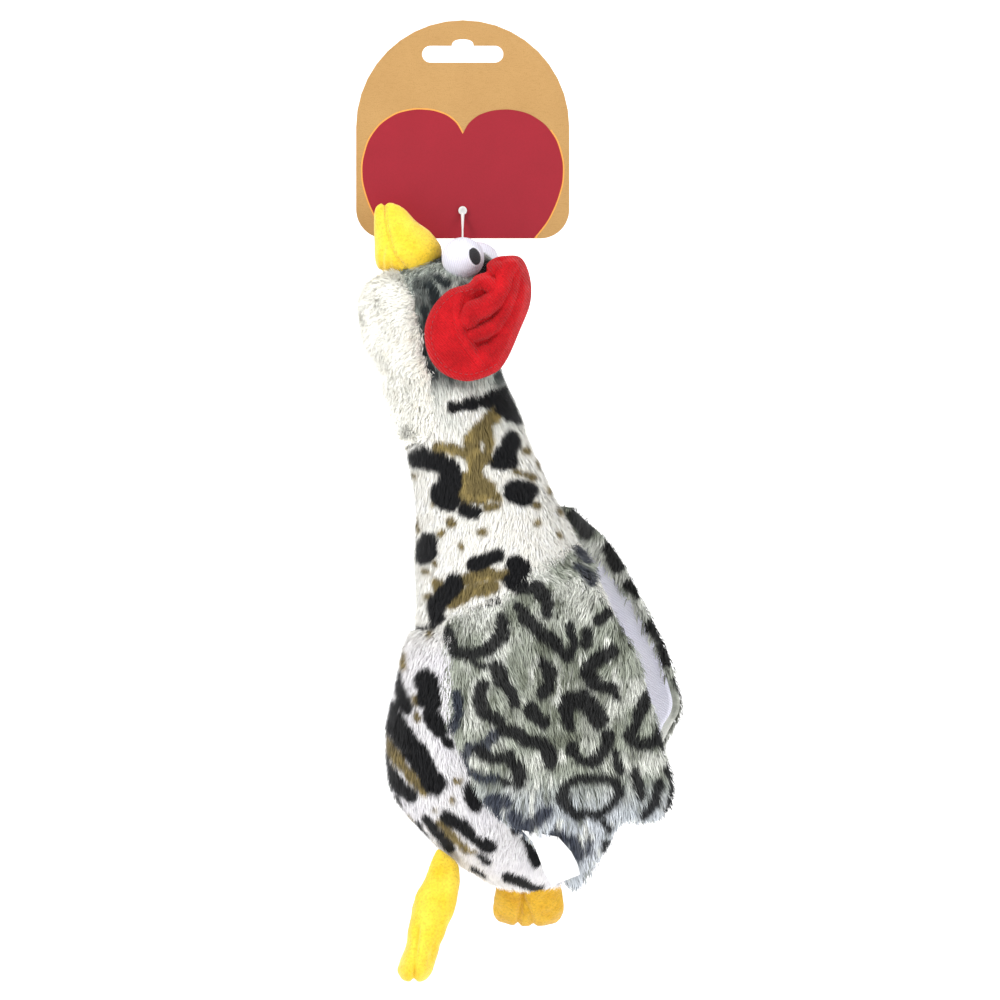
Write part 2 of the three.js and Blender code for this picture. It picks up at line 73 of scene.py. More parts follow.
birdAt = jointAt("head_hang")  # the bar inside the head; the bird is drawn in mm from here
print("frame loaded,", len(frame["nodes"]), "nodes")


# small tools

def shade(r, g, b):
    swatch = np.array([r, g, b], float) / 255
    return tuple(np.where(swatch <= 0.04045, swatch / 12.92, ((swatch + 0.055) / 1.055) ** 2.4))


def wander(points, size, seed):  # smooth noise from -1 to 1
    q = np.asarray(points, float) / size + seed * 17.31
    cell = np.floor(q).astype(np.int64)
    f = q - cell
    f = f * f * (3 - 2 * f)
    total = np.zeros(len(q))
    for corner in range(8):
        step = np.array([(corner >> k) & 1 for k in range(3)])
        c = cell + step
        h = (c[:, 0] * 73856093) ^ (c[:, 1] * 19349663) ^ (c[:, 2] * 83492791)
        h = (h ^ (h >> 13)) * 1274126177
        value = ((h ^ (h >> 16)) & 65535) / 32767.5 - 1
        total += value * np.where(step == 1, f, 1 - f).prod(axis=1)
    return total


def ease(value, low, high):
    t = np.clip((np.asarray(value, float) - low) / (high - low), 0, 1)
    return t * t * (3 - 2 * t)


def lineDistance(points, line):  # from flat points to a given line
    line = np.asarray(line, float)
    if len(line) == 1:
        return np.linalg.norm(points - line[0], axis=1)
    best = np.full(len(points), 1e9)
    for a, b in zip(line[:-1], line[1:]):
        d = b - a
        t = np.clip((points - a) @ d / max(d @ d, 1e-9), 0, 1)
        best = np.minimum(best, np.linalg.norm(points - a - t[:, None] * d, axis=1))
    return best


def inside(points, outline):  # flat points inside a closed outline
    x, z = points[:, 0], points[:, 1]
    hit = np.zeros(len(points), bool)
    last = outline[-1]
    for here in outline:
        crosses = (here[1] > z) != (last[1] > z)
        slope = (last[0] - here[0]) / ((last[1] - here[1]) or 1e-9)
        hit ^= crosses & (x < here[0] + (z - here[1]) * slope)
        last = here
    return hit


def rounded(points, steps):  # smooth closed outline through given points
    p = np.asarray(points, float)
    n = len(p)
    t = np.arange(steps) * n / steps
    i = t.astype(int)
    f = (t - i)[:, None]
    a, b, c, d = p[(i - 1) % n], p[i % n], p[(i + 1) % n], p[(i + 2) % n]
    return 0.5 * (2 * b + (c - a) * f + (2 * a - 5 * b + 4 * c - d) * f ** 2
                  + (3 * b - a - 3 * c + d) * f ** 3)


def through(rows, z):  # smooth form rows: height, then what it holds
    rows = np.asarray(rows, float)[::-1]
    heights, values = rows[:, 0], rows[:, 1:]
    slopes = np.gradient(values, heights, axis=0)
    z = np.clip(z, heights[0], heights[-1])
    i = np.clip(np.searchsorted(heights, z) - 1, 0, len(heights) - 2)
    span = (heights[i + 1] - heights[i])[:, None]
    t = ((z - heights[i]) / span[:, 0])[:, None]
    a, b, ta, tb = values[i], values[i + 1], slopes[i] * span, slopes[i + 1] * span
    return (2 * t ** 3 - 3 * t ** 2 + 1) * a + (t ** 3 - 2 * t ** 2 + t) * ta \
        + (3 * t ** 2 - 2 * t ** 3) * b + (t ** 3 - t ** 2) * tb


# meshes

def addObject(name, mesh):
    made = bpy.data.objects.new(name, mesh)
    scene.collection.objects.link(made)
    return made


def meshFrom(name, points, faces, edges=(), origin=birdAt):
    mesh = bpy.data.meshes.new(name)
    mesh.from_pydata((np.asarray(points, float) * mm + origin).tolist(), edges, faces)
    mesh.validate()
    return addObject(name, mesh)


def gridFaces(rows, columns, first=0):  # quads over a sheet of rows + 1 by columns + 1 points
    corners = [first + i * (columns + 1) + j for i in range(rows) for j in range(columns)]
    return [(a, a + 1, a + columns + 2, a + columns + 1) for a in corners]


def ringFaces(rings, sides, first=0, capped=False):  # quads between closed rings of points
    faces = []
    for ring in range(rings - 1):
        for k in range(sides):
            a, b = first + ring * sides + k, first + ring * sides + (k + 1) % sides
            faces.append((a, a + sides, b + sides, b))
    if capped:
        faces += [tuple(range(sides)), tuple(range((rings - 1) * sides, rings * sides))[::-1]]
    return faces


def vectors(source, key):
    out = np.zeros(len(source) * 3, np.float32)
    source.foreach_get(key, out)
    return out.reshape(-1, 3).astype(float)


def vertexArray(mesh):
    return vectors(mesh.vertices, "co")


def normalArray(mesh):
    return vectors(mesh.vertex_normals, "vector")


def setVertices(mesh, co):
    mesh.vertices.foreach_set("co", np.asarray(co, np.float32).ravel())
    mesh.update()


def birdPoints(mesh):
    return (vertexArray(mesh) - birdAt) / mm


def setAttribute(mesh, name, kind, values, domain="POINT"):
    attribute = mesh.attributes.get(name) or mesh.attributes.new(name, kind, domain)
    key = {"FLOAT": "value", "FLOAT_VECTOR": "vector", "FLOAT_COLOR": "color"}[kind]
    attribute.data.foreach_set(key, np.asarray(values, np.float32).ravel())


def paint(mesh, colour):
    setAttribute(mesh, "dye", "FLOAT_COLOR", np.concatenate([colour, np.ones((len(colour), 1))], axis=1))


def settle(obj):  # bake the modifiers into a plain mesh
    graph = bpy.context.evaluated_depsgraph_get()
    graph.update()
    mesh = bpy.data.meshes.new_from_object(obj.evaluated_get(graph))
    obj.modifiers.clear()
    old = obj.data
    obj.data = mesh
    mesh.name = obj.name
    bpy.data.meshes.remove(old)
    return obj


def outwards(obj):
    bm = bmesh.new()
    bm.from_mesh(obj.data)
    bmesh.ops.remove_doubles(bm, verts=bm.verts, dist=1e-6)
    bmesh.ops.recalc_face_normals(bm, faces=bm.faces)
    bm.to_mesh(obj.data)
    bm.free()
    obj.data.shade_smooth()
    obj.data.update()
    return obj


def remesh(obj, voxel):
    modifier = obj.modifiers.new("voxels", "REMESH")
    modifier.mode = "VOXEL"
    modifier.voxel_size = voxel * mm
    modifier.use_smooth_shade = True
    return settle(obj)


def refine(obj, levels=1):
    modifier = obj.modifiers.new("finer", "SUBSURF")
    modifier.levels = modifier.render_levels = levels
    return settle(obj)


def relax(obj, times, strength=0.5):
    modifier = obj.modifiers.new("relaxed", "SMOOTH")
    modifier.iterations, modifier.factor = times, strength
    return settle(obj)


def thicken(obj, thickness, offset=-1):
    solid = obj.modifiers.new("thickness", "SOLIDIFY")
    solid.thickness, solid.offset = thickness * mm, offset
    return obj


def copyOfNode(node, name):
    mesh = frame["nodes"][node].data.copy()
    made = addObject(name, mesh)
    mesh.materials.clear()
    return outwards(made)


def flatUV(obj):  # one flat layout for the whole piece, as its cloth lies
    mesh = obj.data
    co = vertexArray(mesh)[:, [0, 2]]
    low, size = co.min(0), max(np.ptp(co, axis=0).max(), 1e-6)
    loops = np.zeros(len(mesh.loops), np.int32)
    mesh.loops.foreach_get("vertex_index", loops)
    layer = mesh.uv_layers.get("OFBake") or mesh.uv_layers.new(name="OFBake")
    layer.data.foreach_set("uv", ((co - low) / size * 0.98 + 0.01)[loops].astype(np.float32).ravel())


# cloth: the shell swells between its pinned seams, capped so that it keeps its size
clothScale = 20  # the toy is small, so its cloth is worked out at this many times its size


def puff(obj, pinned, pressure=4.0, limit=3.0, frames=20, stiffness=12.0):
    before = vertexArray(obj.data)
    setVertices(obj.data, before * clothScale)
    group = obj.vertex_groups.new(name="seams")
    group.add([int(i) for i in np.nonzero(pinned)[0]], 1.0, "REPLACE")
    cloth = obj.modifiers.new("cloth", "CLOTH")
    cloth.settings.quality = 6
    cloth.settings.mass = 0.2
    cloth.settings.tension_stiffness = cloth.settings.compression_stiffness = stiffness
    cloth.settings.bending_stiffness = 0.4
    cloth.settings.use_pressure = True
    cloth.settings.uniform_pressure_force = pressure
    cloth.settings.vertex_group_mass = "seams"
    cloth.settings.effector_weights.gravity = 0
    cloth.point_cache.frame_start, cloth.point_cache.frame_end = 1, frames
    for step in range(1, frames + 1):
        scene.frame_set(step)
    graph = bpy.context.evaluated_depsgraph_get()
    swollen = obj.evaluated_get(graph).to_mesh()
    after = vertexArray(swollen)
    obj.evaluated_get(graph).to_mesh_clear()
    obj.modifiers.remove(cloth)
    obj.vertex_groups.clear()
    scene.frame_set(1)
    moved = after / clothScale - before
    length = np.linalg.norm(moved, axis=1)
    share = np.where(length > limit * mm, limit * mm / np.maximum(length, 1e-9), 1.0)
    setVertices(obj.data, before + moved * share[:, None])
    print("  puffed", obj.name, "by up to", round(float(length.max()) / mm, 2), "mm")
    return obj


# materials

def newMaterial(name, roughness=0.9, **sockets):
    material = bpy.data.materials.new(name)
    material.use_nodes = True
    shader = material.node_tree.nodes["Principled BSDF"]
    shader.inputs["Roughness"].default_value = roughness
    for label, value in sockets.items():
        shader.inputs[label.replace("_", " ")].default_value = value
    return material, material.node_tree, shader


def addNode(tree, kind, inputs=(), **settings):  # inputs: socket name or number, and a value or another node's output
    made = tree.nodes.new(kind)
    for key, value in settings.items():
        setattr(made, key, value)
    for key, value in dict(inputs).items():
        if isinstance(value, bpy.types.NodeSocket):
            tree.links.new(value, made.inputs[key])
        else:
            made.inputs[key].default_value = value
    return made


def mixColours(tree, factor, first, second, blend="MIX"):
    first, second = [v if isinstance(v, bpy.types.NodeSocket) else (*v[:3], 1) for v in (first, second)]
    mix = addNode(tree, "ShaderNodeMix", {0: factor, 6: first, 7: second}, data_type="RGBA", blend_type=blend)
    return mix.outputs[2]


def coordinates(tree, scale=(1, 1, 1), turn=(0, 0, 0)):
    where = addNode(tree, "ShaderNodeTexCoord").outputs["Object"]
    turned = [math.radians(a) for a in turn]
    return addNode(tree, "ShaderNodeMapping", {"Vector": where, "Scale": scale, "Rotation": turned}).outputs["Vector"]


def noiseTexture(tree, vector, perMetre, detail=3.0, rough=0.55):
    return addNode(tree, "ShaderNodeTexNoise", {"Vector": vector, "Scale": perMetre, "Detail": detail,
                                                "Roughness": rough}).outputs["Fac"]


def ramp(tree, value, *stops):
    made = addNode(tree, "ShaderNodeValToRGB")
    elements = made.color_ramp.elements
    elements[0].position, elements[0].color = stops[0][0], (*stops[0][1], 1)
    elements[1].position, elements[1].color = stops[-1][0], (*stops[-1][1], 1)
    for place, colour in stops[1:-1]:
        elements.new(place).color = (*colour, 1)
    tree.links.new(value, made.inputs["Fac"])
    return made.outputs["Color"]


def bump(tree, shader, height, distance, strength=1.0, under=None):
    inputs = {"Height": height, "Distance": distance * mm, "Strength": strength}
    if under is not None:
        inputs["Normal"] = under
    made = addNode(tree, "ShaderNodeBump", inputs).outputs["Normal"]
    tree.links.new(made, shader.inputs["Normal"])
    return made


def ribs(tree, vector, perMetre, distortion=0.3, axis="X"):
    inputs = {"Vector": vector, "Scale": perMetre, "Distortion": distortion, "Detail": 1.0}
    return addNode(tree, "ShaderNodeTexWave", inputs, wave_type="BANDS", bands_direction=axis).outputs["Fac"]


# sheen settings for the pile, and how much lighter the fibre tips are painted (painted highlight)
pileSheenAndPaintedTipLight = dict(sheenWeight=0.12, sheenRoughness=0.5, paintedTipLight=1.08)


def pileMaterial(name, backing=False, paintedRootShade=0.62):  # printed fur: the colour is on the fibres themselves; each fibre's root is painted darker as painted shade and its tip painted lighter as a painted highlight
    material, tree, shader = newMaterial(
        name, 0.78, Sheen_Weight=pileSheenAndPaintedTipLight["sheenWeight"], Sheen_Roughness=pileSheenAndPaintedTipLight["sheenRoughness"],
        Specular_IOR_Level=0.25)
    print_ = addNode(tree, "ShaderNodeAttribute", attribute_name="dye").outputs["Color"]
    if backing:
        vector = coordinates(tree)
        knit = ribs(tree, vector, 260, 0.6, "Z")
        # the backing is painted 13% darker than its print: painted shade under the pile
        colour = mixColours(tree, 0.2, print_, mixColours(tree, 1.0, print_, (0.35, 0.35, 0.35), "MULTIPLY"))
        tree.links.new(colour, shader.inputs["Base Color"])
        bump(tree, shader, knit, 0.15, 0.6)
        return material
    along = addNode(tree, "ShaderNodeAttribute", attribute_name="along").outputs["Fac"]
    low, high = paintedRootShade, pileSheenAndPaintedTipLight["paintedTipLight"]
    # painted shade at the fibre roots, rising to a painted highlight at the tips
    depth = ramp(tree, along, (0.0, (low,) * 3), (0.45, (low * 0.3 + 0.7,) * 3), (1.0, (high,) * 3))
    tree.links.new(mixColours(tree, 1.0, print_, depth, "MULTIPLY"), shader.inputs["Base Color"])
    return material


def fleeceMaterial(name, colour, darker, ribbed=0.0, turn=(0, 0, 0), sheen=0.35):
    material, tree, shader = newMaterial(
        name, 0.92, Sheen_Weight=sheen, Sheen_Roughness=0.45, Specular_IOR_Level=0.2)
    vector = coordinates(tree)
    broad = noiseTexture(tree, vector, 120, 2.0)
    fine = noiseTexture(tree, vector, 1100, 4.0, 0.75)
    tint = mixColours(tree, ramp(tree, broad, (0.3, (0, 0, 0)), (0.7, (1, 1, 1))), darker, colour)
    flecks = ramp(tree, fine, (0.32, (0.7,) * 3), (0.5, (0.98,) * 3), (0.7, (1.12,) * 3))
    tree.links.new(mixColours(tree, 1.0, tint, flecks, "MULTIPLY"), shader.inputs["Base Color"])
    soft = bump(tree, shader, fine, 0.35, 0.8)
    if ribbed:
        bump(tree, shader, ribs(tree, coordinates(tree, turn=turn), ribbed, 1.2), 0.28, 0.7, soft)
    return material


def tricotMaterial(name, colour, darker, perMetre, turn, roughness=0.7, depth=0.16):
    material, tree, shader = newMaterial(
        name, roughness, Sheen_Weight=0.25, Sheen_Roughness=0.4, Specular_IOR_Level=0.3)
    wales = ribs(tree, coordinates(tree, turn=turn), perMetre, 0.15)
    vector = coordinates(tree)
    blotch = noiseTexture(tree, vector, 90, 2.0)
    tint = mixColours(tree, blotch, darker, colour)
    lines = ramp(tree, wales, (0.0, (0.86,) * 3), (0.45, (1, 1, 1)), (1.0, (1, 1, 1)))
    tree.links.new(mixColours(tree, 1.0, tint, lines, "MULTIPLY"), shader.inputs["Base Color"])
    nap = bump(tree, shader, noiseTexture(tree, vector, 2600, 3.0), 0.1, 0.5)
    bump(tree, shader, wales, depth, 0.8, nap)
    return material


materials = {
    "fur": pileMaterial("printedPile"),
    # the wing pile's fibre roots carry deeper painted shade
    "wingFur": pileMaterial("frostedPile", paintedRootShade=0.42),
    "curls": pileMaterial("curledPile", paintedRootShade=0.9),
    "backing": pileMaterial("pileBacking", backing=True),
    "yellow": fleeceMaterial("yellowFleece", shade(248, 214, 70), shade(238, 196, 42)),
    # a darker copy of the yellow fleece for the right leg: painted shade, as that leg lies under the body
    "yellowPaintedShade": fleeceMaterial("mustardFleece", shade(222, 178, 50), shade(202, 152, 30)),
    "red": fleeceMaterial("redFleece", shade(198, 16, 26), shade(168, 8, 18), 330, (0, 38, 0), 0.1),
    "eyeWhite": tricotMaterial("eyeTricot", shade(228, 228, 238), shade(214, 214, 228), 430, (0, 14, 0)),
    "lining": tricotMaterial("liningTricot", shade(246, 246, 255), shade(234, 234, 252), 380, (0, 58, 0), 0.8, 0.1),
}


def cardMaterial():
    material, tree, shader = newMaterial("kraftBoard", 0.72, Specular_IOR_Level=0.35)
    vector = coordinates(tree)
    flecks = noiseTexture(tree, vector, 2400, 3.0, 0.75)
    fibres = noiseTexture(tree, coordinates(tree, (1, 1, 5), (0, 20, 0)), 420, 4.0, 0.7)
    tint = mixColours(tree, noiseTexture(tree, vector, 55, 2.0), shade(170, 131, 78), shade(182, 143, 88))
    speckled = ramp(tree, flecks, (0.3, (0.72, 0.68, 0.6)), (0.46, (1, 1, 1)), (0.75, (1.05, 1.05, 1.05)))
    streaked = ramp(tree, fibres, (0.32, (0.9, 0.88, 0.84)), (0.5, (1, 1, 1)))
    for layer in (speckled, streaked):
        tint = mixColours(tree, 1.0, tint, layer, "MULTIPLY")
    tree.links.new(tint, shader.inputs["Base Color"])
    bump(tree, shader, flecks, 0.05, 0.5)
    return material


def heartMaterial():
    material, tree, shader = newMaterial("crimsonInk", 0.5, Specular_IOR_Level=0.4)
    vector = coordinates(tree)
    grain = noiseTexture(tree, vector, 1600, 3.0, 0.7)
    tint = mixColours(tree, noiseTexture(tree, vector, 60, 2.0), shade(138, 10, 30), shade(150, 15, 36))
    tint = mixColours(tree, 1.0, tint, ramp(tree, grain, (0.3, (0.9,) * 3), (0.6, (1.03,) * 3)), "MULTIPLY")
    tree.links.new(tint, shader.inputs["Base Color"])
    bump(tree, shader, grain, 0.03, 0.5)
    return material


def satinMaterial():
    material, tree, shader = newMaterial("whiteSatin", 0.36, Sheen_Weight=0.1, Specular_IOR_Level=0.5)
    weft = ribs(tree, coordinates(tree, turn=(0, 22, 0)), 900, 0.1)
    warp = ribs(tree, coordinates(tree, turn=(0, 112, 0)), 700, 0.1)
    tree.links.new(mixColours(tree, weft, shade(238, 238, 240), shade(253, 253, 253)), shader.inputs["Base Color"])
    bump(tree, shader, warp, 0.05, 0.5, bump(tree, shader, weft, 0.06, 0.5))
    return material


def grain(*scales, scale=(1, 1, 1), turn=(0, 0, 0)):
    return lambda tree: noiseTexture(tree, coordinates(tree, scale, turn), *scales)


def twist(tree):
    return ribs(tree, coordinates(tree, turn=(0, 45, 0)), 900, 0.2)


def twoTone(name, texture, first, second, roughness, relief=None, **sockets):
    material, tree, shader = newMaterial(name, roughness, **sockets)
    pattern = texture(tree)
    tree.links.new(mixColours(tree, pattern, shade(*first), shade(*second)), shader.inputs["Base Color"])
    if relief:
        bump(tree, shader, pattern, *relief)
    return material


materials.update(
    card=cardMaterial(), heart=heartMaterial(), satin=satinMaterial(),
    heartLine=twoTone("orangeInk", grain(1600, 3.0, 0.7), (214, 140, 56), (232, 166, 76), 0.5),
    nylon=twoTone("milkyNylon", grain(900, 2.0, scale=(1, 1, 0.2)), (226, 226, 226), (246, 246, 244), 0.32,
                  (0.04, 0.4), IOR=1.5, Transmission_Weight=0.25),
    squeaker=twoTone("squeakerPlastic", grain(240, 3.0), (225, 219, 204), (238, 234, 222), 0.42, (0.08, 0.5),
             IOR=1.5),
    fill=twoTone("fibreFill", grain(700, 5.0, 0.8, scale=(1, 3, 1), turn=(30, 0, 20)), (226, 226, 228),
                 (250, 250, 250), 0.95, (0.5, 0.9), Sheen_Weight=0.4, Specular_IOR_Level=0.1),
    black=twoTone("blackThread", grain(2000, 2.0, scale=(1, 1, 6), turn=(0, 25, 0)), (10, 10, 13), (38, 38, 44),
                  0.5, (0.1, 0.8), Sheen_Weight=0.15, Specular_IOR_Level=0.4),
    redThread=twoTone("redThread", twist, (120, 4, 14), (170, 14, 26), 0.55, Sheen_Weight=0.2),
    goldThread=twoTone("goldThread", twist, (196, 148, 22), (226, 180, 44), 0.55, Sheen_Weight=0.2),
)
print("materials made")


# body form: height in mm from the bar, front edge, back edge, half depth, all at the pile's tips
body = dict(
    rows=[
        (3.6, -1, 7, 2), (2.5, -5, 10, 6), (0, -9.5, 13.5, 10), (-3.5, -19, 17, 14), (-10, -34.5, 19, 19.5),
        (-16.5, -40, 19.2, 22), (-27, -39.6, 18.2, 23.5), (-42, -34, 17, 24), (-55, -29.2, 21, 24.5),
        (-64, -27, 25, 25), (-77, -24, 31, 26), (-95, -20.8, 39, 28), (-113, -20.8, 48, 30.5),
        (-130, -20.4, 57, 33), (-144, -20.4, 62.5, 35), (-150, -24, 63.8, 36), (-164, -27.5, 66.4, 38),
        (-181, -31.8, 67.3, 39), (-198, -31.8, 65.7, 38.5), (-208, -30.2, 62.5, 36.5), (-217, -25, 58, 33),
        (-225, -17.5, 53.5, 29), (-233, -9, 49, 23), (-240, 0.5, 45.2, 17), (-245, 10, 42, 10.5),
        (-247.5, 20, 36, 4),
    ],
    pileDepth=2.0,     # from the backing to the tips
    voxel=3.6, pressure=5.0, limit=1.6,
    headEnd=-65, neckEnd=-145,
    seamPinch=1.3, throatSwell=2.4, backing=0.9,
)
nodBlend = (-40, -64)      # heights where the head gives way to the neck
neckBlend = (-72, -104)    # and the neck to the belly

throatEdge = [(-5, -25), (-10.4, -22.1), (-15.5, -19), (-24.2, -17), (-30.8, -15.5), (-39.5, -14.3),
              (-47, -12.3), (-55.5, -11.6), (-62, -10.4), (-67, -10.6), (-71, -14), (-74, -22)]  # height, then x


def throatAt(z):
    rows = np.array(throatEdge)[::-1]
    return np.interp(z, rows[:, 0], rows[:, 1], left=-90, right=-90)


def sideDepth(rows, x, z, least=0.02):  # how far a form reaches out sideways
    left, right, depth = through(rows, z).T
    reach = np.clip(1 - ((x - (left + right) / 2) / ((right - left) / 2)) ** 2, least, 1)
    return depth * np.sqrt(reach)


def makeForm(name, rows, inset, sides=72, step=2.2):
    top, bottom = rows[0][0] - inset * 0.5, rows[-1][0] + inset * 0.5
    heights = np.linspace(top, bottom, int((top - bottom) / step))
    form = through(rows, heights)
    turn = np.linspace(0, 2 * math.pi, sides, endpoint=False)
    points = []
    for z, (left, right, depth) in zip(heights, form):
        half = max((right - left) / 2 - inset, 0.7)
        depth = max(depth - inset, 0.7)
        for a in turn:
            points.append(((left + right) / 2 + half * math.cos(a), depth * math.sin(a), z))
    return outwards(meshFrom(name, points, ringFaces(len(heights), sides, capped=True)))


def makeSkin():
    inset = body["pileDepth"] + 1.4
    skin = remesh(makeForm("skin", body["rows"], inset), body["voxel"])
    relax(skin, 3)
    p = birdPoints(skin.data)
    seams = (np.abs(p[:, 1]) < 2.0) | (np.abs(p[:, 2] - body["neckEnd"]) < 2.0)
    puff(skin, seams, body["pressure"], body["limit"])
    refine(skin)
    mesh = skin.data
    p, n = birdPoints(mesh), normalArray(mesh)
    middle = np.exp(-(p[:, 1] / 1.6) ** 2) * ease(-p[:, 2], 5, 20)
    waist = np.exp(-((p[:, 2] - body["neckEnd"]) / 2.0) ** 2)
    slack = wander(p, 17, 3) * 0.55 + wander(p, 7, 4) * 0.22  # the cloth isn't evenly full
    throat = ease(throatAt(p[:, 2]) + 5 - p[:, 0], 0, 9) * ease(p[:, 2], -76, -60)
    slack += body["throatSwell"] * throat * (1 - 0.85 * ease(p[:, 1], 0, 10))
    p += n * (slack - body["seamPinch"] * np.maximum(middle * (1 - throat), waist * 1.4))[:, None]
    setVertices(mesh, p * mm + birdAt)
    return skin


def skinPanel(source, name, keep, cuts):
    bm = bmesh.new()
    bm.from_mesh(source.data)
    for place, normal in cuts:
        bmesh.ops.bisect_plane(bm, geom=bm.verts[:] + bm.edges[:] + bm.faces[:], dist=1e-6,
                               plane_co=Vector(np.array(place, float) * mm + birdAt), plane_no=Vector(normal))
    bm.faces.ensure_lookup_table()
    centres = (np.array([f.calc_center_median() for f in bm.faces]) - birdAt) / mm
    gone = [f for f, kept in zip(bm.faces, keep(centres)) if not kept]
    bmesh.ops.delete(bm, geom=gone, context="FACES")
    mesh = bpy.data.meshes.new(name)
    bm.to_mesh(mesh)
    bm.free()
    mesh.shade_smooth()
    return addObject(name, mesh)


skin = makeSkin()
print("body skin", len(skin.data.polygons), "faces")


